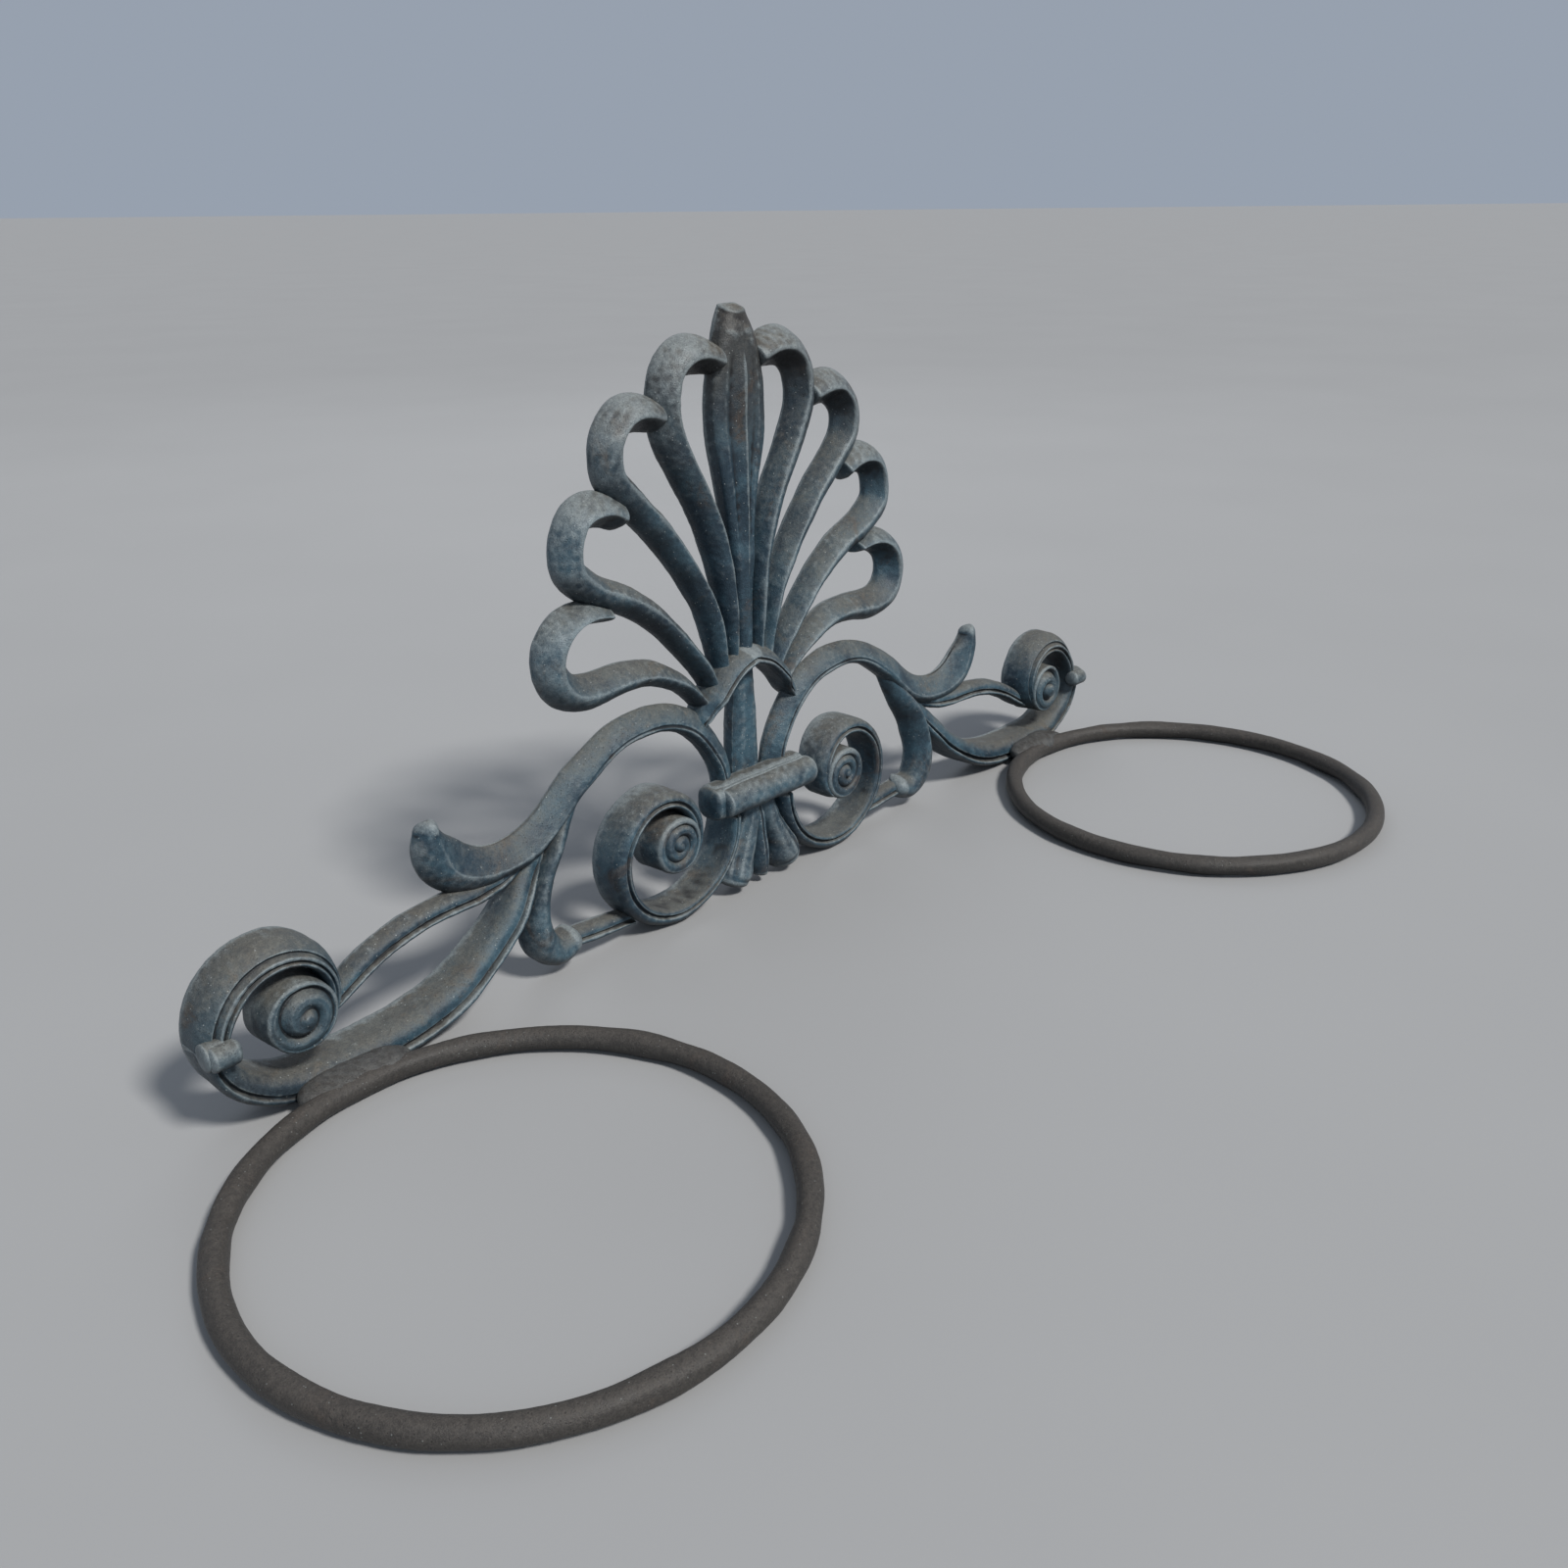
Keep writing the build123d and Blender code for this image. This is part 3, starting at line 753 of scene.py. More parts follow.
@dataclass
class Volutes:
    """The two large scrolls beside the pendant, each with a coiled boss."""

    eye: tuple[float, float] = (72.0, 50.0)
    turns: tuple[Triple, ...] = (
        (0.0, 54.0, 4.0), (0.06, 53.4, 4.2), (0.15, 51.8, 4.6), (0.25, 50, 5.0), (0.375, 46.8, 4.9),
        (0.5, 42.5, 4.7), (0.625, 37.4, 4.6), (0.75, 31.6, 4.7), (0.875, 26, 5.0), (1.0, 21.6, 4.0),
        (1.14, 18.4, 2.4))

    def ribbon(self) -> Strip:
        """Ribbon with a rounded outer rim, a groove and a bead on its inner lip."""
        beads = (Bead(0.24, 0.30, ((0, -2.0), (0.8, -1.8), (1, -0.4)), False),
                 Bead(0.68, 0.28, ((0, 0.6), (0.8, 0.6), (1, 0.2))))
        section = Section(back=((0, 0), (0.75, 0), (1, 6.5)), ridge=((0, 24.2), (0.7, 24.2), (1, 26.0)),
                          flank_far=17.0, flank_near=21.5, shift=-0.1, power_far=2.0, power_near=4.0,
                          root_far=0.55, root_near=0.6, corner=1.2, beads=beads, front_count=61)
        return Strip(spiral(self.eye, self.turns), section, 260, start=End(2.0, 2.0))

    def boss(self) -> Snail:
        """Coiled boss of a large scroll."""
        return Snail(self.eye, radius=16.4, foot=17.6, front=27.2, pitch=6.4, groove=2.2, rise=1.4,
                     phase=0.1, eye_size=2.2, rim=2.4)

    def build(self, foundry: Foundry) -> None:
        """Cast both scrolls and their bosses."""
        foundry.pair("volute_ribbon_*", self.ribbon(), "volute_*")
        foundry.pair("volute_coil_*", self.boss(), "volute_boss_*")


@dataclass
class Arms:
    """Arch leaves, drop leaves, ties, branches and rails that reach out to the rings."""

    arch_line: Stations = (
        (20, 66, 7), (22.5, 80, 7), (28, 91, 7.2), (36, 102.5, 7.4), (46, 112, 7.5), (57, 118, 7.5),
        (70, 121.5, 7.5), (84, 122.3, 7.3), (97, 120.7, 7), (109, 116.5, 7.3), (122, 109, 8),
        (134, 100.5, 8.5), (144, 91.5, 9), (154, 83.5, 9.4), (168, 77, 9.5), (183, 74.5, 10),
        (196, 75.5, 11.8), (208.5, 81, 13.2), (217, 90, 12.4), (221, 99, 9), (221.5, 105, 6))
    drop_line: Stations = (
        (125, 103, 3.4), (138, 88.5, 4.4), (150, 74, 5), (158.8, 60, 5.8), (164, 45, 7.0), (164.6, 30, 8.4),
        (160.4, 18, 8.8), (151.8, 12.6, 8.6), (143.4, 14.8, 7.6))
    tie_line: Stations = ((156, 16.5, 4.6), (132, 14, 4.6), (98.5, 11.4, 4.6))
    branch_line: Stations = (
        (166, 70, 4.2), (186, 65, 5), (212, 64, 5.2), (228, 63, 5.2), (242, 60.5, 5.2), (256, 56, 5.2),
        (270, 49.5, 5.2), (283, 42, 5), (292, 37.5, 4.8))
    rail_line: Stations = (
        (154, 77, 4.8), (172, 55, 6.3), (187, 39.5, 7), (207, 25, 7.5), (233, 13.5, 8), (262, 9, 8),
        (290, 8.5, 8), (313, 10.8, 7.6), (331.5, 20.5, 7), (342, 33.5, 6.2), (345, 46.5, 5.6))

    def arch_leaf(self) -> Strip:
        """Band that arches over the volute and ends in a cupped, upturned leaf."""
        beads = (Bead(-0.72, 0.22, ((0, 0.8), (0.45, 0.7), (0.6, 0.0), (1, 0.0))),
                 Bead(-0.42, 0.16, ((0, -0.7), (0.45, -0.5), (0.6, 0.0), (1, 0.0)), False))
        section = Section(
            back=5.0, ridge=((0, 16.4), (0.6, 16.8), (0.85, 17.4), (1, 16.5)),
            flank_far=((0, 12.5), (0.5, 12), (0.65, 8), (0.9, 7.5), (1, 8)),
            flank_near=((0, 8), (0.5, 7.2), (0.7, 8.5), (0.9, 9), (1, 10)),
            shift=((0, -0.3), (0.5, -0.34), (0.68, -0.3), (0.88, -0.1), (1, 0.35)),
            power_far=((0, 2.4), (0.6, 2.2), (0.75, 1.9), (1, 2.0)),
            power_near=((0, 1.5), (0.5, 1.35), (0.72, 1.0), (0.9, 0.9), (1, 1.5)),
            root_far=((0, 0.75), (0.55, 0.8), (0.75, 0.8), (1, 0.65)),
            root_near=((0, 0.75), (0.55, 0.8), (0.75, 0.8), (1, 0.65)),
            hollow=((0, 0.0), (0.7, 0.0), (0.85, 0.1), (1, 0.0)),
            beads=beads, front_count=61)
        return Strip(self.arch_line, section, 240, end=End(6.5, 2.1))

    def drop_leaf(self) -> Strip:
        """Thin leaf that hangs from the arch leaf and curls into a small ball."""
        section = Section(
            back=5.0, ridge=((0, 10.5), (0.12, 14.5), (0.38, 21.5), (0.7, 23), (1, 21)),
            flank_far=((0, 8), (0.3, 12), (0.8, 12), (1, 10)),
            flank_near=((0, 8), (0.3, 13), (0.8, 12), (1, 10)), shift=((0, 0), (0.5, 0.15), (1, 0)),
            lean=((0, 0), (0.3, 4.5), (0.5, 4.5), (0.72, 0.5), (1, 0)), power_far=1.8, power_near=2.0,
            root_far=((0, 0.7), (1, 0.5)), root_near=((0, 0.7), (1, 0.5)))
        return Strip(self.drop_line, section, 150, end=End(6.2, 2.0))

    def tie(self) -> Strip:
        """Short tie between the drop leaf and the volute, with a bead along its foot."""
        beads = (Bead(0.58, 0.36, 1.7), Bead(0.12, 0.22, -1.3, False))
        section = Section(back=5, ridge=15.4, flank_far=11.5, flank_near=12.5, shift=-0.2, power_far=2,
                          power_near=3.0, root_far=0.6, root_near=0.6, beads=beads, front_count=57)
        return Strip(self.tie_line, section, 50)

    def branch(self) -> Strip:
        """Slender branch from the arch leaf to the end scroll, with a bead along its lower edge."""
        beads = (Bead(-0.64, 0.34, ((0, 0.2), (0.3, 1.7), (1, 1.8))),
                 Bead(-0.2, 0.24, ((0, -0.2), (0.3, -1.6), (1, -1.7)), False))
        section = Section(back=5, ridge=((0, 10), (0.16, 14), (0.3, 16.2), (1, 16.4)),
                          flank_far=((0, 8), (0.25, 12.5)), flank_near=((0, 8), (0.25, 10.5)), shift=0.2,
                          power_far=3.4, power_near=2.0, root_far=0.6, root_near=0.6, beads=beads,
                          front_count=61)
        return Strip(self.branch_line, section, 110)

    def rail(self) -> Strip:
        """Lower rail that carries the ring, with a broad front and a bead along its outer edge."""
        bead = ((0, 0.2), (0.12, 1.8), (0.5, 2.0), (0.62, 0.8), (0.8, 0.8), (0.9, 1.6), (1, 1.4))
        groove = ((0, -0.2), (0.12, -2.0), (0.5, -2.3), (0.62, -0.8), (0.8, -0.8), (0.9, -1.9), (1, -1.6))
        beads = (Bead(-0.70, 0.28, bead), Bead(-0.32, 0.22, groove, False))
        section = Section(back=0, ridge=((0, 10.5), (0.05, 13.5), (0.2, 21), (0.4, 24.0), (1, 24.2)),
                          flank_far=((0, 8), (0.2, 17), (0.4, 20)),
                          flank_near=((0, 8), (0.2, 14), (0.4, 16.5)),
                          shift=0.16, power_far=4.0, power_near=2.0, root_far=0.62, root_near=0.58,
                          beads=beads, front_count=81)
        return Strip(self.rail_line, section, 240)

    def build(self, foundry: Foundry) -> None:
        """Cast the five pairs of arm pieces."""
        foundry.pair("arch_leaf_*.cast", self.arch_leaf(), "arch_leaf_*")
        foundry.pair("drop_leaf_*.cast", self.drop_leaf(), "drop_leaf_*")
        foundry.pair("tie_*", self.tie(), "tie_bar_*")
        foundry.pair("branch_*", self.branch(), "upper_branch_*")
        foundry.pair("rail_*", self.rail(), "lower_rail_*")


@dataclass
class EndScrolls:
    """Scrolls at the ends of the arms, each with a cone-shaped coil and a binding roll."""

    eye: tuple[float, float] = (306.0, 50.0)
    turns: tuple[Triple, ...] = (
        (0.46, 45.4, 5.6), (0.49, 44.6, 6.2), (0.55, 42.4, 7.0), (0.625, 39.4, 7.2), (0.75, 34.2, 6.4),
        (0.875, 29.2, 5.2), (1.0, 25.2, 4.2), (1.125, 22.4, 3.4), (1.27, 20, 2.6))
    boss_eye: tuple[float, float] = (304.6, 46.6)
    roll_place: tuple[float, float] = (343.0, 46.0)
    roll_radius: float = 5.6
    roll_half: float = 7.4
    roll_depth: float = 26.2
    step_radius: float = 6.6
    step_depth: float = 21.8
    outer_rounding: float = 1.6

    def ribbon(self) -> Strip:
        """Ribbon with a sloping outer shoulder, a groove and a crisp inner bead."""
        beads = (Bead(-0.12, 0.22, ((0, -2.0), (0.6, -1.8), (1, -0.4)), False),
                 Bead(0.2, 0.16, ((0, 0.9), (0.6, 0.8), (1, 0.2))),
                 Bead(0.46, 0.16, ((0, -1.5), (0.6, -1.2), (1, -0.2)), False),
                 Bead(0.78, 0.2, ((0, 1.2), (0.6, 1.1), (1, 0.3))))
        section = Section(ridge=((0, 24.0), (0.6, 24.4), (1, 26)), flank_far=13.0, flank_near=20,
                          shift=0.25, power_far=1.7, power_near=3.6, root_far=0.66, root_near=0.62,
                          corner=1.2, beads=beads, front_count=81)
        return Strip(spiral(self.eye, self.turns), section, 230, start=End(1.5, 2.5))

    def boss(self) -> Snail:
        """Cone-shaped coil with a deep winding groove."""
        return Snail(self.boss_eye, radius=17.4, foot=18.6, front=26.2, pitch=9.2, groove=3.6, rise=4.6,
                     phase=0.3, eye_size=4.0, rim=1.8)

    def turned(self, wall: float, span: tuple[float, float], depth: float, radius: float,
               rounding: float) -> Shell:
        """Round bar along X, rounded as an ellipse at both ends.

        Args:
            wall: Y of the wall face.
            span: Ends of the bar, from the middle of the roll.
            depth: Depth of its middle line.
            radius: Its radius.
            rounding: Length of the rounding at its inner end.

        Returns:
            The closed shell.
        """
        start, end = self.roll_place[0] + span[0], self.roll_place[0] + span[1]
        x = np.linspace(start, end, 44)
        near, far = 1 - (x - start) / rounding, 1 - (end - x) / self.outer_rounding
        size = radius * np.sqrt(1 - np.clip(np.maximum(near, far), 0, 0.995) ** 2)
        angle = np.linspace(0, FULL_TURN, 56, endpoint=False)
        y = wall - depth - size[:, None] * np.cos(angle)
        z = self.roll_place[1] + size[:, None] * np.sin(angle)
        return closed_tube(np.stack([np.broadcast_to(x[:, None], y.shape), y, z], -1))

    def roll(self, wall: float) -> Shell:
        """Short roll across the ribbon, rounded at its inner end, with a stepped collar behind it."""
        half = self.roll_half
        front = self.turned(wall, (-half, half), self.roll_depth, self.roll_radius, 3.0)
        step = self.turned(wall, (5.0 - half, half + 1.5), self.step_depth, self.step_radius, 1.4)
        return front.joined(step)

    def build(self, foundry: Foundry) -> None:
        """Cast both end scrolls, their coils and their rolls."""
        foundry.pair("end_ribbon_*", self.ribbon(), "end_scroll_*")
        foundry.pair("end_coil_*", self.boss(), "end_boss_*")
        foundry.pair("end_roll_*", self.roll(foundry.wall), "end_collar_*")


@dataclass
class TowelRings:
    """The two rings of round bar and the welds that hold them."""

    radius: float = 120.0
    bar: float = 6.0
    half_spacing: float = 287.0
    weld_gap: float = 3.0
    rail_depth: float = 25.0
    weld_half: float = 29.0
    weld_size: tuple[float, float] = (10.4, 6.6)
    weld_bend: float = 3.0
    weld_taper: tuple[float, float] = (3.0, 2.4)
    weld_lift: float = 1.9
    weld_slant: float = 0.6
    ripple: tuple[float, float] = (0.03, 3.4)
    swell: tuple[float, float] = (0.05, 7.3)
    floor_clear: float = 0.6
    shy: float = 0.15
    inset: float = 0.5
    flat: float = 0.02
    waver: Stations = ((0.35, 2, 0), (0.25, 3, 1), (0.15, 7, 2))
    thicken: Stations = ((0.025, 5, 3), (0.02, 11, 4), (0.02, 17, 5))

    @staticmethod
    def sines(at: Array, phase: Array, table: Stations) -> Array:
        """Sum of sine waves of an angle, each given as (height, count, number of its phase)."""
        return sum(high * np.sin(count * at + phase[k]) for high, count, k in table)

    def ring(self, wall: float, seed: int) -> Shell:
        """Forged ring: a circle of round bar whose radius and thickness waver slightly.

        The line is radius * (cos a, sin a); both the radius and the bar's thickness change with
        a few slow sine waves of the angle, and the bar has faint hammered flats.
        """
        draw = np.random.default_rng(seed)
        a = np.linspace(0, FULL_TURN, 420, endpoint=False)[:, None]
        b = np.linspace(0, FULL_TURN, 28, endpoint=False)[None]
        phase = draw.uniform(0, FULL_TURN, 8)
        flats = 1 - self.flat * np.cos(4 * b + 3 * np.sin(3 * a + phase[6]))
        r = (self.bar - self.shy) * (1 + self.sines(a, phase, self.thicken)) * flats
        line = self.radius - self.inset + self.sines(a, phase, self.waver) + r * np.cos(b)
        middle = wall - self.rail_depth - self.weld_gap - self.bar - self.radius
        points = np.stack([self.half_spacing + line * np.cos(a), middle + line * np.sin(a),
                           self.bar + r * np.sin(b)], -1)
        rings, around = points.shape[:2]
        i, j = np.meshgrid(np.arange(rings), np.arange(around), indexing="ij")
        i2, j2 = (i + 1) % rings, (j + 1) % around
        faces = np.stack([i * around + j, i2 * around + j, i2 * around + j2, i * around + j2], -1)
        return Shell(points.reshape(-1, 3), faces.reshape(-1, 4)).turned_out()

    def weld(self, wall: float, seed: int) -> Shell:
        """Lumpy weld bead between ring and rail: an oval bar that tapers, with overlapping ripples.

        The taper is (1 - |x / half|^power)^(1 / root), and the ripples are sine waves along x.
        """
        x = np.linspace(-self.weld_half, self.weld_half, 110)[:, None]
        b = np.linspace(0, FULL_TURN, 48, endpoint=False)[None]
        power, root = self.weld_taper
        taper = (1 - np.clip(np.abs(x) / self.weld_half, 0, 0.9995) ** power) ** (1 / root)
        small, wide = self.ripple, self.swell
        ripple = 1 + small[0] * np.abs(np.sin(x / small[1] + 0.8 * np.sin(b))) \
            + wide[0] * np.sin(x / wide[1] + seed)
        deep, high = (size * taper * ripple for size in self.weld_size)
        bend = self.weld_bend * (x / self.weld_half) ** 2
        y = wall - self.rail_depth - self.weld_gap - self.floor_clear - bend + deep * np.cos(b)
        z = self.bar + self.weld_lift + high * np.sin(b) + self.weld_slant * np.cos(b)
        along = np.broadcast_to(self.half_spacing + x, y.shape)
        return closed_tube(np.stack([along, y, np.maximum(z, self.floor_clear)], -1))

    def build(self, foundry: Foundry) -> None:
        """Make both rings and both welds, each side with its own unevenness."""
        for side in Side:
            ring = self.ring(foundry.wall, 40 + side.value)
            weld = self.weld(foundry.wall, 50 + side.value)
            if side is Side.LEFT:
                ring, weld = ring.mirrored(), weld.mirrored()
            foundry.cast(f"ring_bar_{side.word}", ring, f"ring_{side.word}", Finish.RING, 0.7)
            foundry.cast(f"weld_{side.word}", weld, f"ring_weld_{side.word}", Finish.WELD, 1.7)


# ---- finishes ------------------------------------------------------------------------------
class Sock:
    """Socket of a node tree that adds Math nodes when used in an expression."""

    def __init__(self, kit: "NodeKit", socket: bpy.types.NodeSocket) -> None:
        self.kit, self.socket = kit, socket

    def __add__(self, other: Any) -> "Sock":
        """Sum."""
        return self.kit.math("ADD", self, other)

    __radd__ = __add__

    def __mul__(self, other: Any) -> "Sock":
        """Product."""
        return self.kit.math("MULTIPLY", self, other)

    __rmul__ = __mul__

    def __sub__(self, other: Any) -> "Sock":
        """Difference."""
        return self.kit.math("SUBTRACT", self, other)

    def __rsub__(self, other: Any) -> "Sock":
        """Difference from a number."""
        return self.kit.math("SUBTRACT", other, self)

    def clamp(self) -> "Sock":
        """Value kept between 0 and 1."""
        return self.kit.math("ADD", self, 0.0, clamp=True)

    def sway(self, amount: float) -> "Sock":
        """Pattern centred on zero, times an amount."""
        return (self - 0.5) * amount

    def step(self, low: float, high: float) -> "Sock":
        """Smooth step from 0 at low to 1 at high."""
        return self.kit.add("ShaderNodeMapRange", {"interpolation_type": "SMOOTHSTEP"},
                            {"Value": self, "From Min": low, "From Max": high}, "Result")


class NodeKit:
    """Adds nodes to one material and links their sockets."""

    def __init__(self, material: bpy.types.Material) -> None:
        """Clear the material's nodes."""
        material.use_nodes = True
        self.tree = material.node_tree
        self.tree.nodes.clear()

    def add(self, kind: str, settings: dict[str, Any], values: dict[Any, Any],
            output: Union[str, int] = 0) -> Sock:
        """Add a node.

        Args:
            kind: Node type.
            settings: Properties, set first.
            values: Constants or sockets for the inputs, by name or number.
            output: Output to return.

        Returns:
            The chosen output.
        """
        node = self.tree.nodes.new(kind)
        for name, value in settings.items():
            setattr(node, name, value)
        for name, value in values.items():
            socket = node.inputs[name]
            if isinstance(value, Sock):
                self.tree.links.new(value.socket, socket)
            else:
                socket.default_value = value
        return Sock(self, node.outputs[output])

    def math(self, operation: str, a: Any, b: Any, clamp: bool = False) -> Sock:
        """Math node on numbers or sockets."""
        return self.add("ShaderNodeMath", {"operation": operation, "use_clamp": clamp}, {0: a, 1: b})

    def mix(self, factor: Any, a: Any, b: Any, blend: str = "MIX") -> Sock:
        """Mix two colours; a plain colour is given as three numbers."""
        a, b = ((*c, 1.0) if isinstance(c, tuple) else c for c in (a, b))
        return self.add("ShaderNodeMix", {"data_type": "RGBA", "blend_type": blend, "clamp_factor": True},
                        {0: factor, 6: a, 7: b}, 2)

    def noise(self, coords: Sock, scale: float, detail: float = 3.0, rough: float = 0.55,
              twist: float = 0.0) -> Sock:
        """Value of a noise texture."""
        return self.add("ShaderNodeTexNoise", {}, {"Vector": coords, "Scale": scale, "Detail": detail,
                                                   "Roughness": rough, "Distortion": twist}, "Fac")

    def moved(self, coords: Sock, offset: Triple) -> Sock:
        """Coordinates moved by an offset, so that two patterns don't coincide."""
        return self.add("ShaderNodeMapping", {}, {"Vector": coords, "Location": offset})

    def cells(self, coords: Sock, scale: float, output: str) -> Sock:
        """Output of a cell pattern: Distance to the nearest seed point, or Color, random by cell."""
        return self.add("ShaderNodeTexVoronoi", {"feature": "F1"}, {"Vector": coords, "Scale": scale},
                        output)

    def axis(self, vector: Sock, letter: str) -> Sock:
        """One part of a vector."""
        return self.add("ShaderNodeSeparateXYZ", {}, {0: vector}, letter)


@dataclass(frozen=True)
class Pattern:
    """Cloudy pattern: its scale per metre, detail, roughness, twist and the offset of its place."""

    scale: float
    detail: float
    rough: float
    twist: float
    offset: Triple

    def on(self, kit: NodeKit, place: Sock) -> Sock:
        """Value of the pattern at a place."""
        return kit.noise(kit.moved(place, self.offset), self.scale, self.detail, self.rough, self.twist)


SLOW = Pattern(19.0, 4.0, 0.6, 0.6, (0.0, 0.0, 0.0))
CLOUD = Pattern(62.0, 5.0, 0.62, 0.5, (3.1, 1.7, 0.4))
BLOT = Pattern(31.0, 6.0, 0.68, 0.9, (7.3, 0.2, 5.9))
SAND = Pattern(1500.0, 3.0, 0.65, 0.0, (0.6, 2.9, 8.8))
CRUMB = Pattern(420.0, 4.0, 0.65, 0.0, (4.6, 6.2, 1.3))
SCATTER = Pattern(70.0, 2.0, 0.55, 0.0, (9.0, 1.0, 3.0))
SPECK_CELLS, SPECK_OFFSET, PIT_CELLS = 520.0, (1.0, 5.0, 2.0), 610.0
SPECK_REACH, PIT_REACH = 0.20, 0.30
GRIT = ((0.16, 0.16, 0.17), (0.86, 0.85, 0.82))
# the second share is the strength of the painted shade in creases, where the relief is low
GRIT_SHARE, CREASE_SHADE_SHARE, PIT_SHARE, PATINA_LEAST = 0.42, 0.85, 0.5, 0.15
ARM_SHARE, BLOT_SHARE, CROWD_SHARE, ROUGHNESS = 0.45, 0.55, 0.45, 0.46
# where each effect sets in and where it is full
PATINA_BAND, BLOT_BAND, RUST_BAND = (0.40, 0.60), (0.54, 0.68), (0.55, 0.68)
TOP_BAND, ARM_BAND = (0.21, 0.33), (0.27, 0.34)
UP_BAND, UNDER_BAND, CROWD_BAND = (0.05, 1.0), (0.05, 0.85), (0.7, 1.6)
# the second band here is for the painted shade in creases, where the relief is low
EDGE_BAND, CREASE_SHADE_BAND, GRIT_BAND = (0.10, 0.8), (0.08, 0.65), (0.34, 0.66)
CHANCE_BAND, SPECK_BAND = (0.80, 0.84), (0.0, 0.09)
PIT_BAND, PIT_CHANCE = (0.0, 0.16), (-0.02, 0.08)


@dataclass(frozen=True)
class WeatheredIron:
    """Weathered bare iron: dark skin, blue-green patina, brown dust and rust, worn edges, grain, and painted
    shade under the iron and in its creases.
    """

    name: str
    dark: Triple = (0.015, 0.027, 0.040)
    patina: Triple = (0.048, 0.098, 0.130)
    umber: Triple = (0.041, 0.036, 0.031)
    dust: Triple = (0.094, 0.084, 0.068)
    rust: Triple = (0.075, 0.045, 0.032)
    worn: Triple = (0.190, 0.220, 0.230)
    # near-black tone of the painted shade under the iron and in its creases, and of the pits
    seam: Triple = (0.007, 0.007, 0.008)
    speck: Triple = (0.34, 0.36, 0.35)
    patina_share: float = 0.8
    umber_share: float = 0.85
    dust_share: float = 0.75
    rust_share: float = 0.3
    worn_share: float = 0.55
    # strength of the painted shade on faces that look down
    under_share: float = 0.75
    grain: float = 0.45
    grain_depth: float = 0.0012
    metallic: float = 0.12
    shine: float = 0.32
    speck_share: float = 0.6
    offset: Triple = (0.0, 0.0, 0.0)

    def material(self) -> bpy.types.Material:
        """Build the material.

        Colour is the dark skin mixed with patina by slow noise, umber towards the top of the
        palmette and the ends of the arms, rust blotches, dust on faces that look up and in
        crowded corners, lighter worn edges where the relief is high, painted shade on faces that
        look down and painted shade in creases where the relief is low; grain, pits and pale specks
        come last. The same patterns drive the bump.
        """
        material = bpy.data.materials.new(self.name)
        kit = NodeKit(material)
        origin = kit.add("ShaderNodeTexCoord", {}, {}, "Object")
        place = kit.moved(origin, self.offset)
        relief, crowd = (kit.add("ShaderNodeAttribute", {"attribute_name": name}, {}, "Fac")
                         for name in ("relief", "crowd"))
        facing = kit.axis(kit.add("ShaderNodeNewGeometry", {}, {}, "Normal"), "Z")
        height, out = kit.axis(origin, "Z"), kit.math("ABSOLUTE", kit.axis(origin, "X"), 0.0)
        slow, cloud, blot, sand, crumb, scatter = (
            pattern.on(kit, place) for pattern in (SLOW, CLOUD, BLOT, SAND, CRUMB, SCATTER))

        patina = (slow * 0.5 + cloud * 0.5).step(*PATINA_BAND)
        least = self.patina_share * PATINA_LEAST
        skin = kit.mix(patina * (self.patina_share - least) + least, self.dark, self.patina)
        brown = (height + slow.sway(0.18) + crumb.sway(0.03)).step(*TOP_BAND) \
            + (out + slow.sway(0.10)).step(*ARM_BAND) * ARM_SHARE + blot.step(*BLOT_BAND) * BLOT_SHARE
        skin = kit.mix(brown.clamp() * self.umber_share, skin, self.umber)
        rust = (blot * 0.8 + crumb * 0.2).step(*RUST_BAND) * self.rust_share
        skin = kit.mix(rust, skin, self.rust)
        upward = (facing * 0.9 + cloud.sway(1.1) + crumb.sway(0.6)).step(*UP_BAND)
        dusty = (upward + (crowd + crumb.sway(0.6)).step(*CROWD_BAND) * CROWD_SHARE).clamp() \
            * self.dust_share
        skin = kit.mix(dusty, skin, self.dust)
        edge = (relief + crumb.sway(0.5)).step(*EDGE_BAND) * self.worn_share
        skin = kit.mix(edge, skin, self.worn)
        # painted shade: faces that look down are darkened towards the near-black tone
        under = ((0 - facing) + cloud.sway(0.4)).step(*UNDER_BAND) * self.under_share
        skin = kit.mix(under, skin, self.seam)
        # painted shade: where the relief is low (grooves, creases, hollows) the colour is darkened towards the
        # near-black tone
        deep = ((0 - relief) + crumb.sway(0.25)).step(*CREASE_SHADE_BAND) * CREASE_SHADE_SHARE
        skin = kit.mix(deep, skin, self.seam)
        grit = kit.mix((sand * 0.55 + crumb * 0.45).step(*GRIT_BAND), *GRIT)
        skin = kit.mix(GRIT_SHARE, skin, grit, "OVERLAY")
        cell = kit.moved(place, SPECK_OFFSET)
        draw = kit.add("ShaderNodeSeparateColor", {}, {0: kit.cells(cell, SPECK_CELLS, "Color")}, 0)
        chance = (draw + scatter.sway(0.8)).step(*CHANCE_BAND)
        specks = (SPECK_REACH - kit.cells(cell, SPECK_CELLS, "Distance")).step(*SPECK_BAND) * chance
        skin = kit.mix(specks * self.speck_share, skin, self.speck)
        pits = (PIT_REACH - kit.cells(place, PIT_CELLS, "Distance")).step(*PIT_BAND) \
            * crumb.sway(1.0).step(*PIT_CHANCE)
        skin = kit.mix(pits * PIT_SHARE, skin, self.seam)

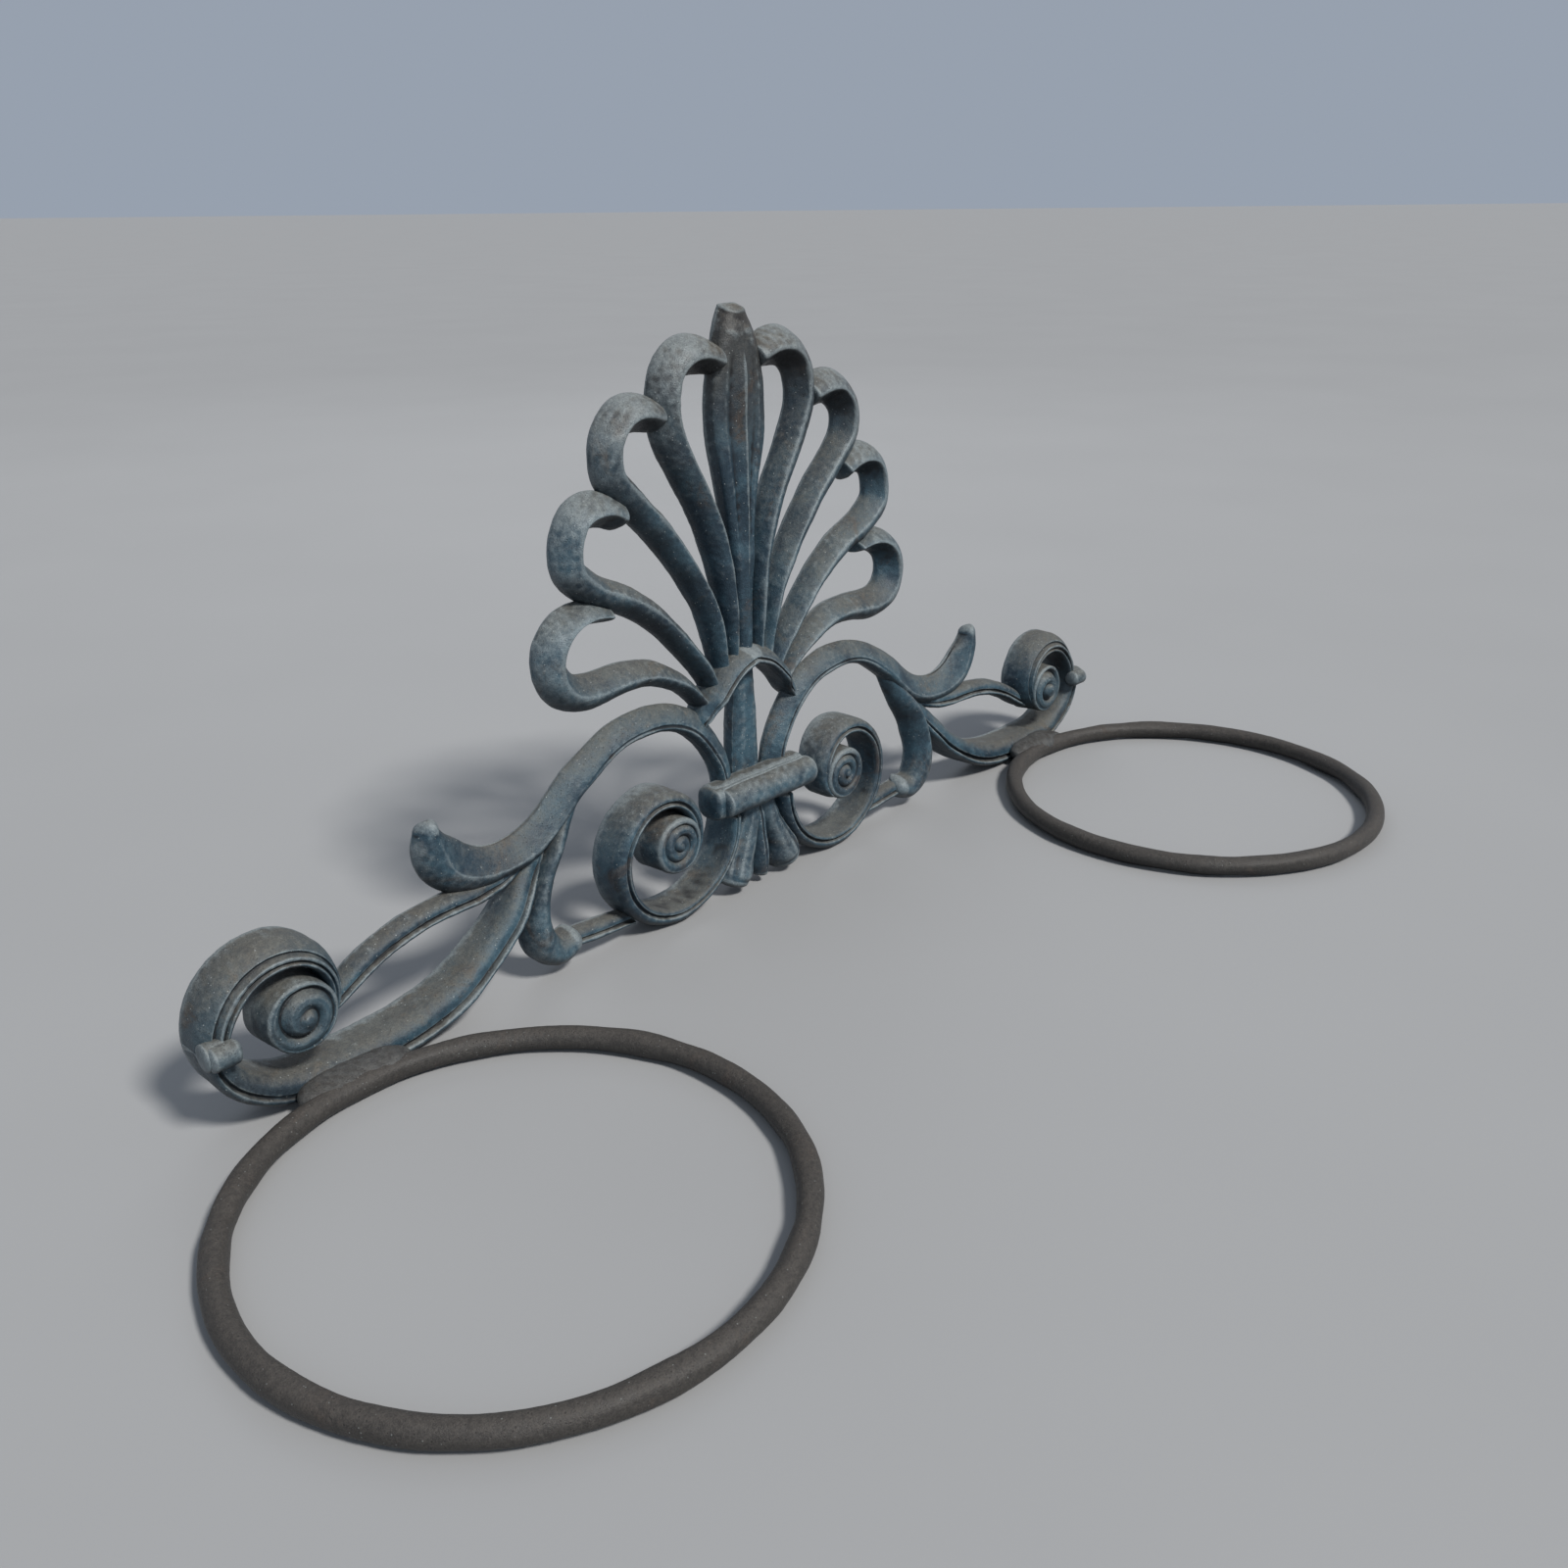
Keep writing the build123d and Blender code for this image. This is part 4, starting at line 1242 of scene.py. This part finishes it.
        rough = ROUGHNESS + dusty * 0.34 + rust * 0.2 - edge * 0.12 + crumb.sway(0.3)
        bumps = sand * 0.4 + crumb * 0.6 + cloud * 0.5 - pits * 0.4 + specks * 0.3
        shape = kit.add("ShaderNodeBump", {}, {"Strength": self.grain, "Distance": self.grain_depth,
                                               "Height": bumps})
        shader = kit.add("ShaderNodeBsdfPrincipled", {}, {
            "Base Color": skin, "Roughness": rough.clamp(), "Metallic": self.metallic,
            "Normal": shape, "Specular IOR Level": self.shine})
        self.finish_output(kit, shader)
        return material

    @staticmethod
    def finish_output(kit: NodeKit, shader: Sock) -> None:
        """Link the shader to the material's output."""
        out = kit.tree.nodes.new("ShaderNodeOutputMaterial")
        kit.tree.links.new(shader.socket, out.inputs["Surface"])


# ---- studio --------------------------------------------------------------------------------
@dataclass
class Studio:
    """Pale floor, soft lights and the camera."""

    camera_place: Triple = (-0.55933, -0.41386, 0.38416)
    yaw: float = 0.8271
    pitch: float = 0.3933
    roll: float = -0.0098
    lens: float = 32.37
    floor_half: float = 60.0
    floor_gap: float = 0.0006
    floor_tones: tuple[Triple, Triple] = ((0.25, 0.25, 0.25), (0.27, 0.27, 0.27))
    aim: Triple = (0.0, 0.0, 0.15)
    sky: Triple = (0.62, 0.71, 0.85)
    sky_strength: float = 0.50

    def camera(self) -> None:
        """Camera from its heading, its dip below the horizon and its roll, in radians."""
        cp, sp = math.cos(self.pitch), math.sin(self.pitch)
        forward = Vector((math.sin(self.yaw) * cp, math.cos(self.yaw) * cp, -sp))
        right = Vector((math.cos(self.yaw), -math.sin(self.yaw), 0))
        up = right.cross(forward)
        cr, sr = math.cos(self.roll), math.sin(self.roll)
        side, top = right * cr + up * sr, up * cr - right * sr
        data = bpy.data.cameras.new("view")
        data.lens, data.sensor_width, data.sensor_fit = self.lens, 36.0, "HORIZONTAL"
        data.clip_start, data.clip_end = 0.01, 50.0
        camera = linked("view", data)
        camera.matrix_world = Matrix((
            (side.x, top.x, -forward.x, self.camera_place[0]),
            (side.y, top.y, -forward.y, self.camera_place[1]),
            (side.z, top.z, -forward.z, self.camera_place[2]), (0, 0, 0, 1)))
        bpy.context.scene.camera = camera

    def light(self, name: str, kind: str, place: Triple, power: float, width: float,
              colour: Triple) -> None:
        """Soft light that looks at the rack from a place.

        Args:
            name: Name of the light.
            kind: AREA for a square panel, SUN for even light from the place's direction.
            place: Where it stands.
            power: Watts of a panel, or strength of a sun.
            width: Side of a panel in metres, or spread of a sun in degrees.
            colour: Its colour.
        """
        data = bpy.data.lights.new(name, kind)
        data.energy, data.color = power, colour
        aim = Vector((0, 0, 0))
        if kind == "SUN":
            data.angle = math.radians(width)
        else:
            data.size, aim = width, Vector(self.aim)
        light = linked(name, data)
        light.rotation_euler = (aim - Vector(place)).to_track_quat("-Z", "Y").to_euler()
        if kind != "SUN":
            light.location = place

    def floor(self) -> None:
        """Wide pale floor just under the rack."""
        h = self.floor_half
        data = bpy.data.meshes.new("studio_floor")
        data.from_pydata([(-h, -h, 0), (h, -h, 0), (h, h, 0), (-h, h, 0)], [], [(0, 1, 2, 3)])
        floor = linked("studio_floor", data)
        floor.location.z = -self.floor_gap
        material = bpy.data.materials.new("pale_floor")
        kit = NodeKit(material)
        place = kit.add("ShaderNodeTexCoord", {}, {}, "Object")
        tone = kit.mix(kit.noise(place, 3.0, 2.0), *self.floor_tones)
        shader = kit.add("ShaderNodeBsdfPrincipled", {}, {"Base Color": tone, "Roughness": 0.75})
        WeatheredIron.finish_output(kit, shader)
        data.materials.append(material)

    def world(self) -> None:
        """Even pale surroundings."""
        world = bpy.data.worlds.new("surroundings")
        world.use_nodes = True
        back = world.node_tree.nodes["Background"]
        back.inputs[0].default_value = (*self.sky, 1)
        back.inputs[1].default_value = self.sky_strength
        bpy.context.scene.world = world
        bpy.context.scene.view_settings.view_transform = "Standard"

    def build(self) -> None:
        """Set up floor, surroundings, lights and camera."""
        self.camera()
        self.floor()
        self.world()
        self.light("key", "SUN", (0.1, -1.5, 1.75), 4.2, 11.0, (1.0, 0.98, 0.95))
        self.light("fill", "AREA", (-1.8, -1.6, 1.2), 9, 1.6, (0.80, 0.90, 1.0))
        self.light("rim", "AREA", (1.2, 1.6, 1.6), 7, 1.2, (0.92, 0.96, 1.0))


def main() -> None:
    """Build the rack and the studio."""
    logging.basicConfig(level=logging.INFO, format="%(name)s: %(message)s")
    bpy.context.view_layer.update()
    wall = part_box("lower_rail_right")[1].y / MM
    log.info("wall face at y = %.1f mm", wall)
    finishes = {
        Finish.PANEL: WeatheredIron("weathered_panel_iron").material(),
        Finish.RING: WeatheredIron(
            "dark_ring_iron", dark=(0.005, 0.005, 0.005), patina=(0.014, 0.014, 0.014),
            umber=(0.018, 0.013, 0.010), dust=(0.038, 0.031, 0.026), worn=(0.060, 0.056, 0.052),
            rust=(0.040, 0.023, 0.015), patina_share=0.6, umber_share=0.6, dust_share=0.7, rust_share=0.7,
            shine=0.2, metallic=0.0, speck_share=0.25, offset=(2.0, 0.0, 1.0)).material(),
        Finish.WELD: WeatheredIron(
            "weld_bead_iron", dark=(0.009, 0.010, 0.012), patina=(0.020, 0.026, 0.030),
            umber=(0.026, 0.020, 0.017), dust=(0.052, 0.045, 0.038), worn=(0.075, 0.077, 0.076),
            patina_share=0.6, umber_share=0.7, dust_share=0.6, rust_share=0.5, grain=0.55,
            speck_share=0.3, offset=(5.0, 3.0, 0.0)).material(),
    }
    foundry = Foundry(wall, finishes)
    for group in (Palmette(), Binding(), Volutes(), Arms(), EndScrolls(), TowelRings()):
        group.build(foundry)
    foundry.crowd()
    Studio().build()


if __name__ == "__main__":
    main()
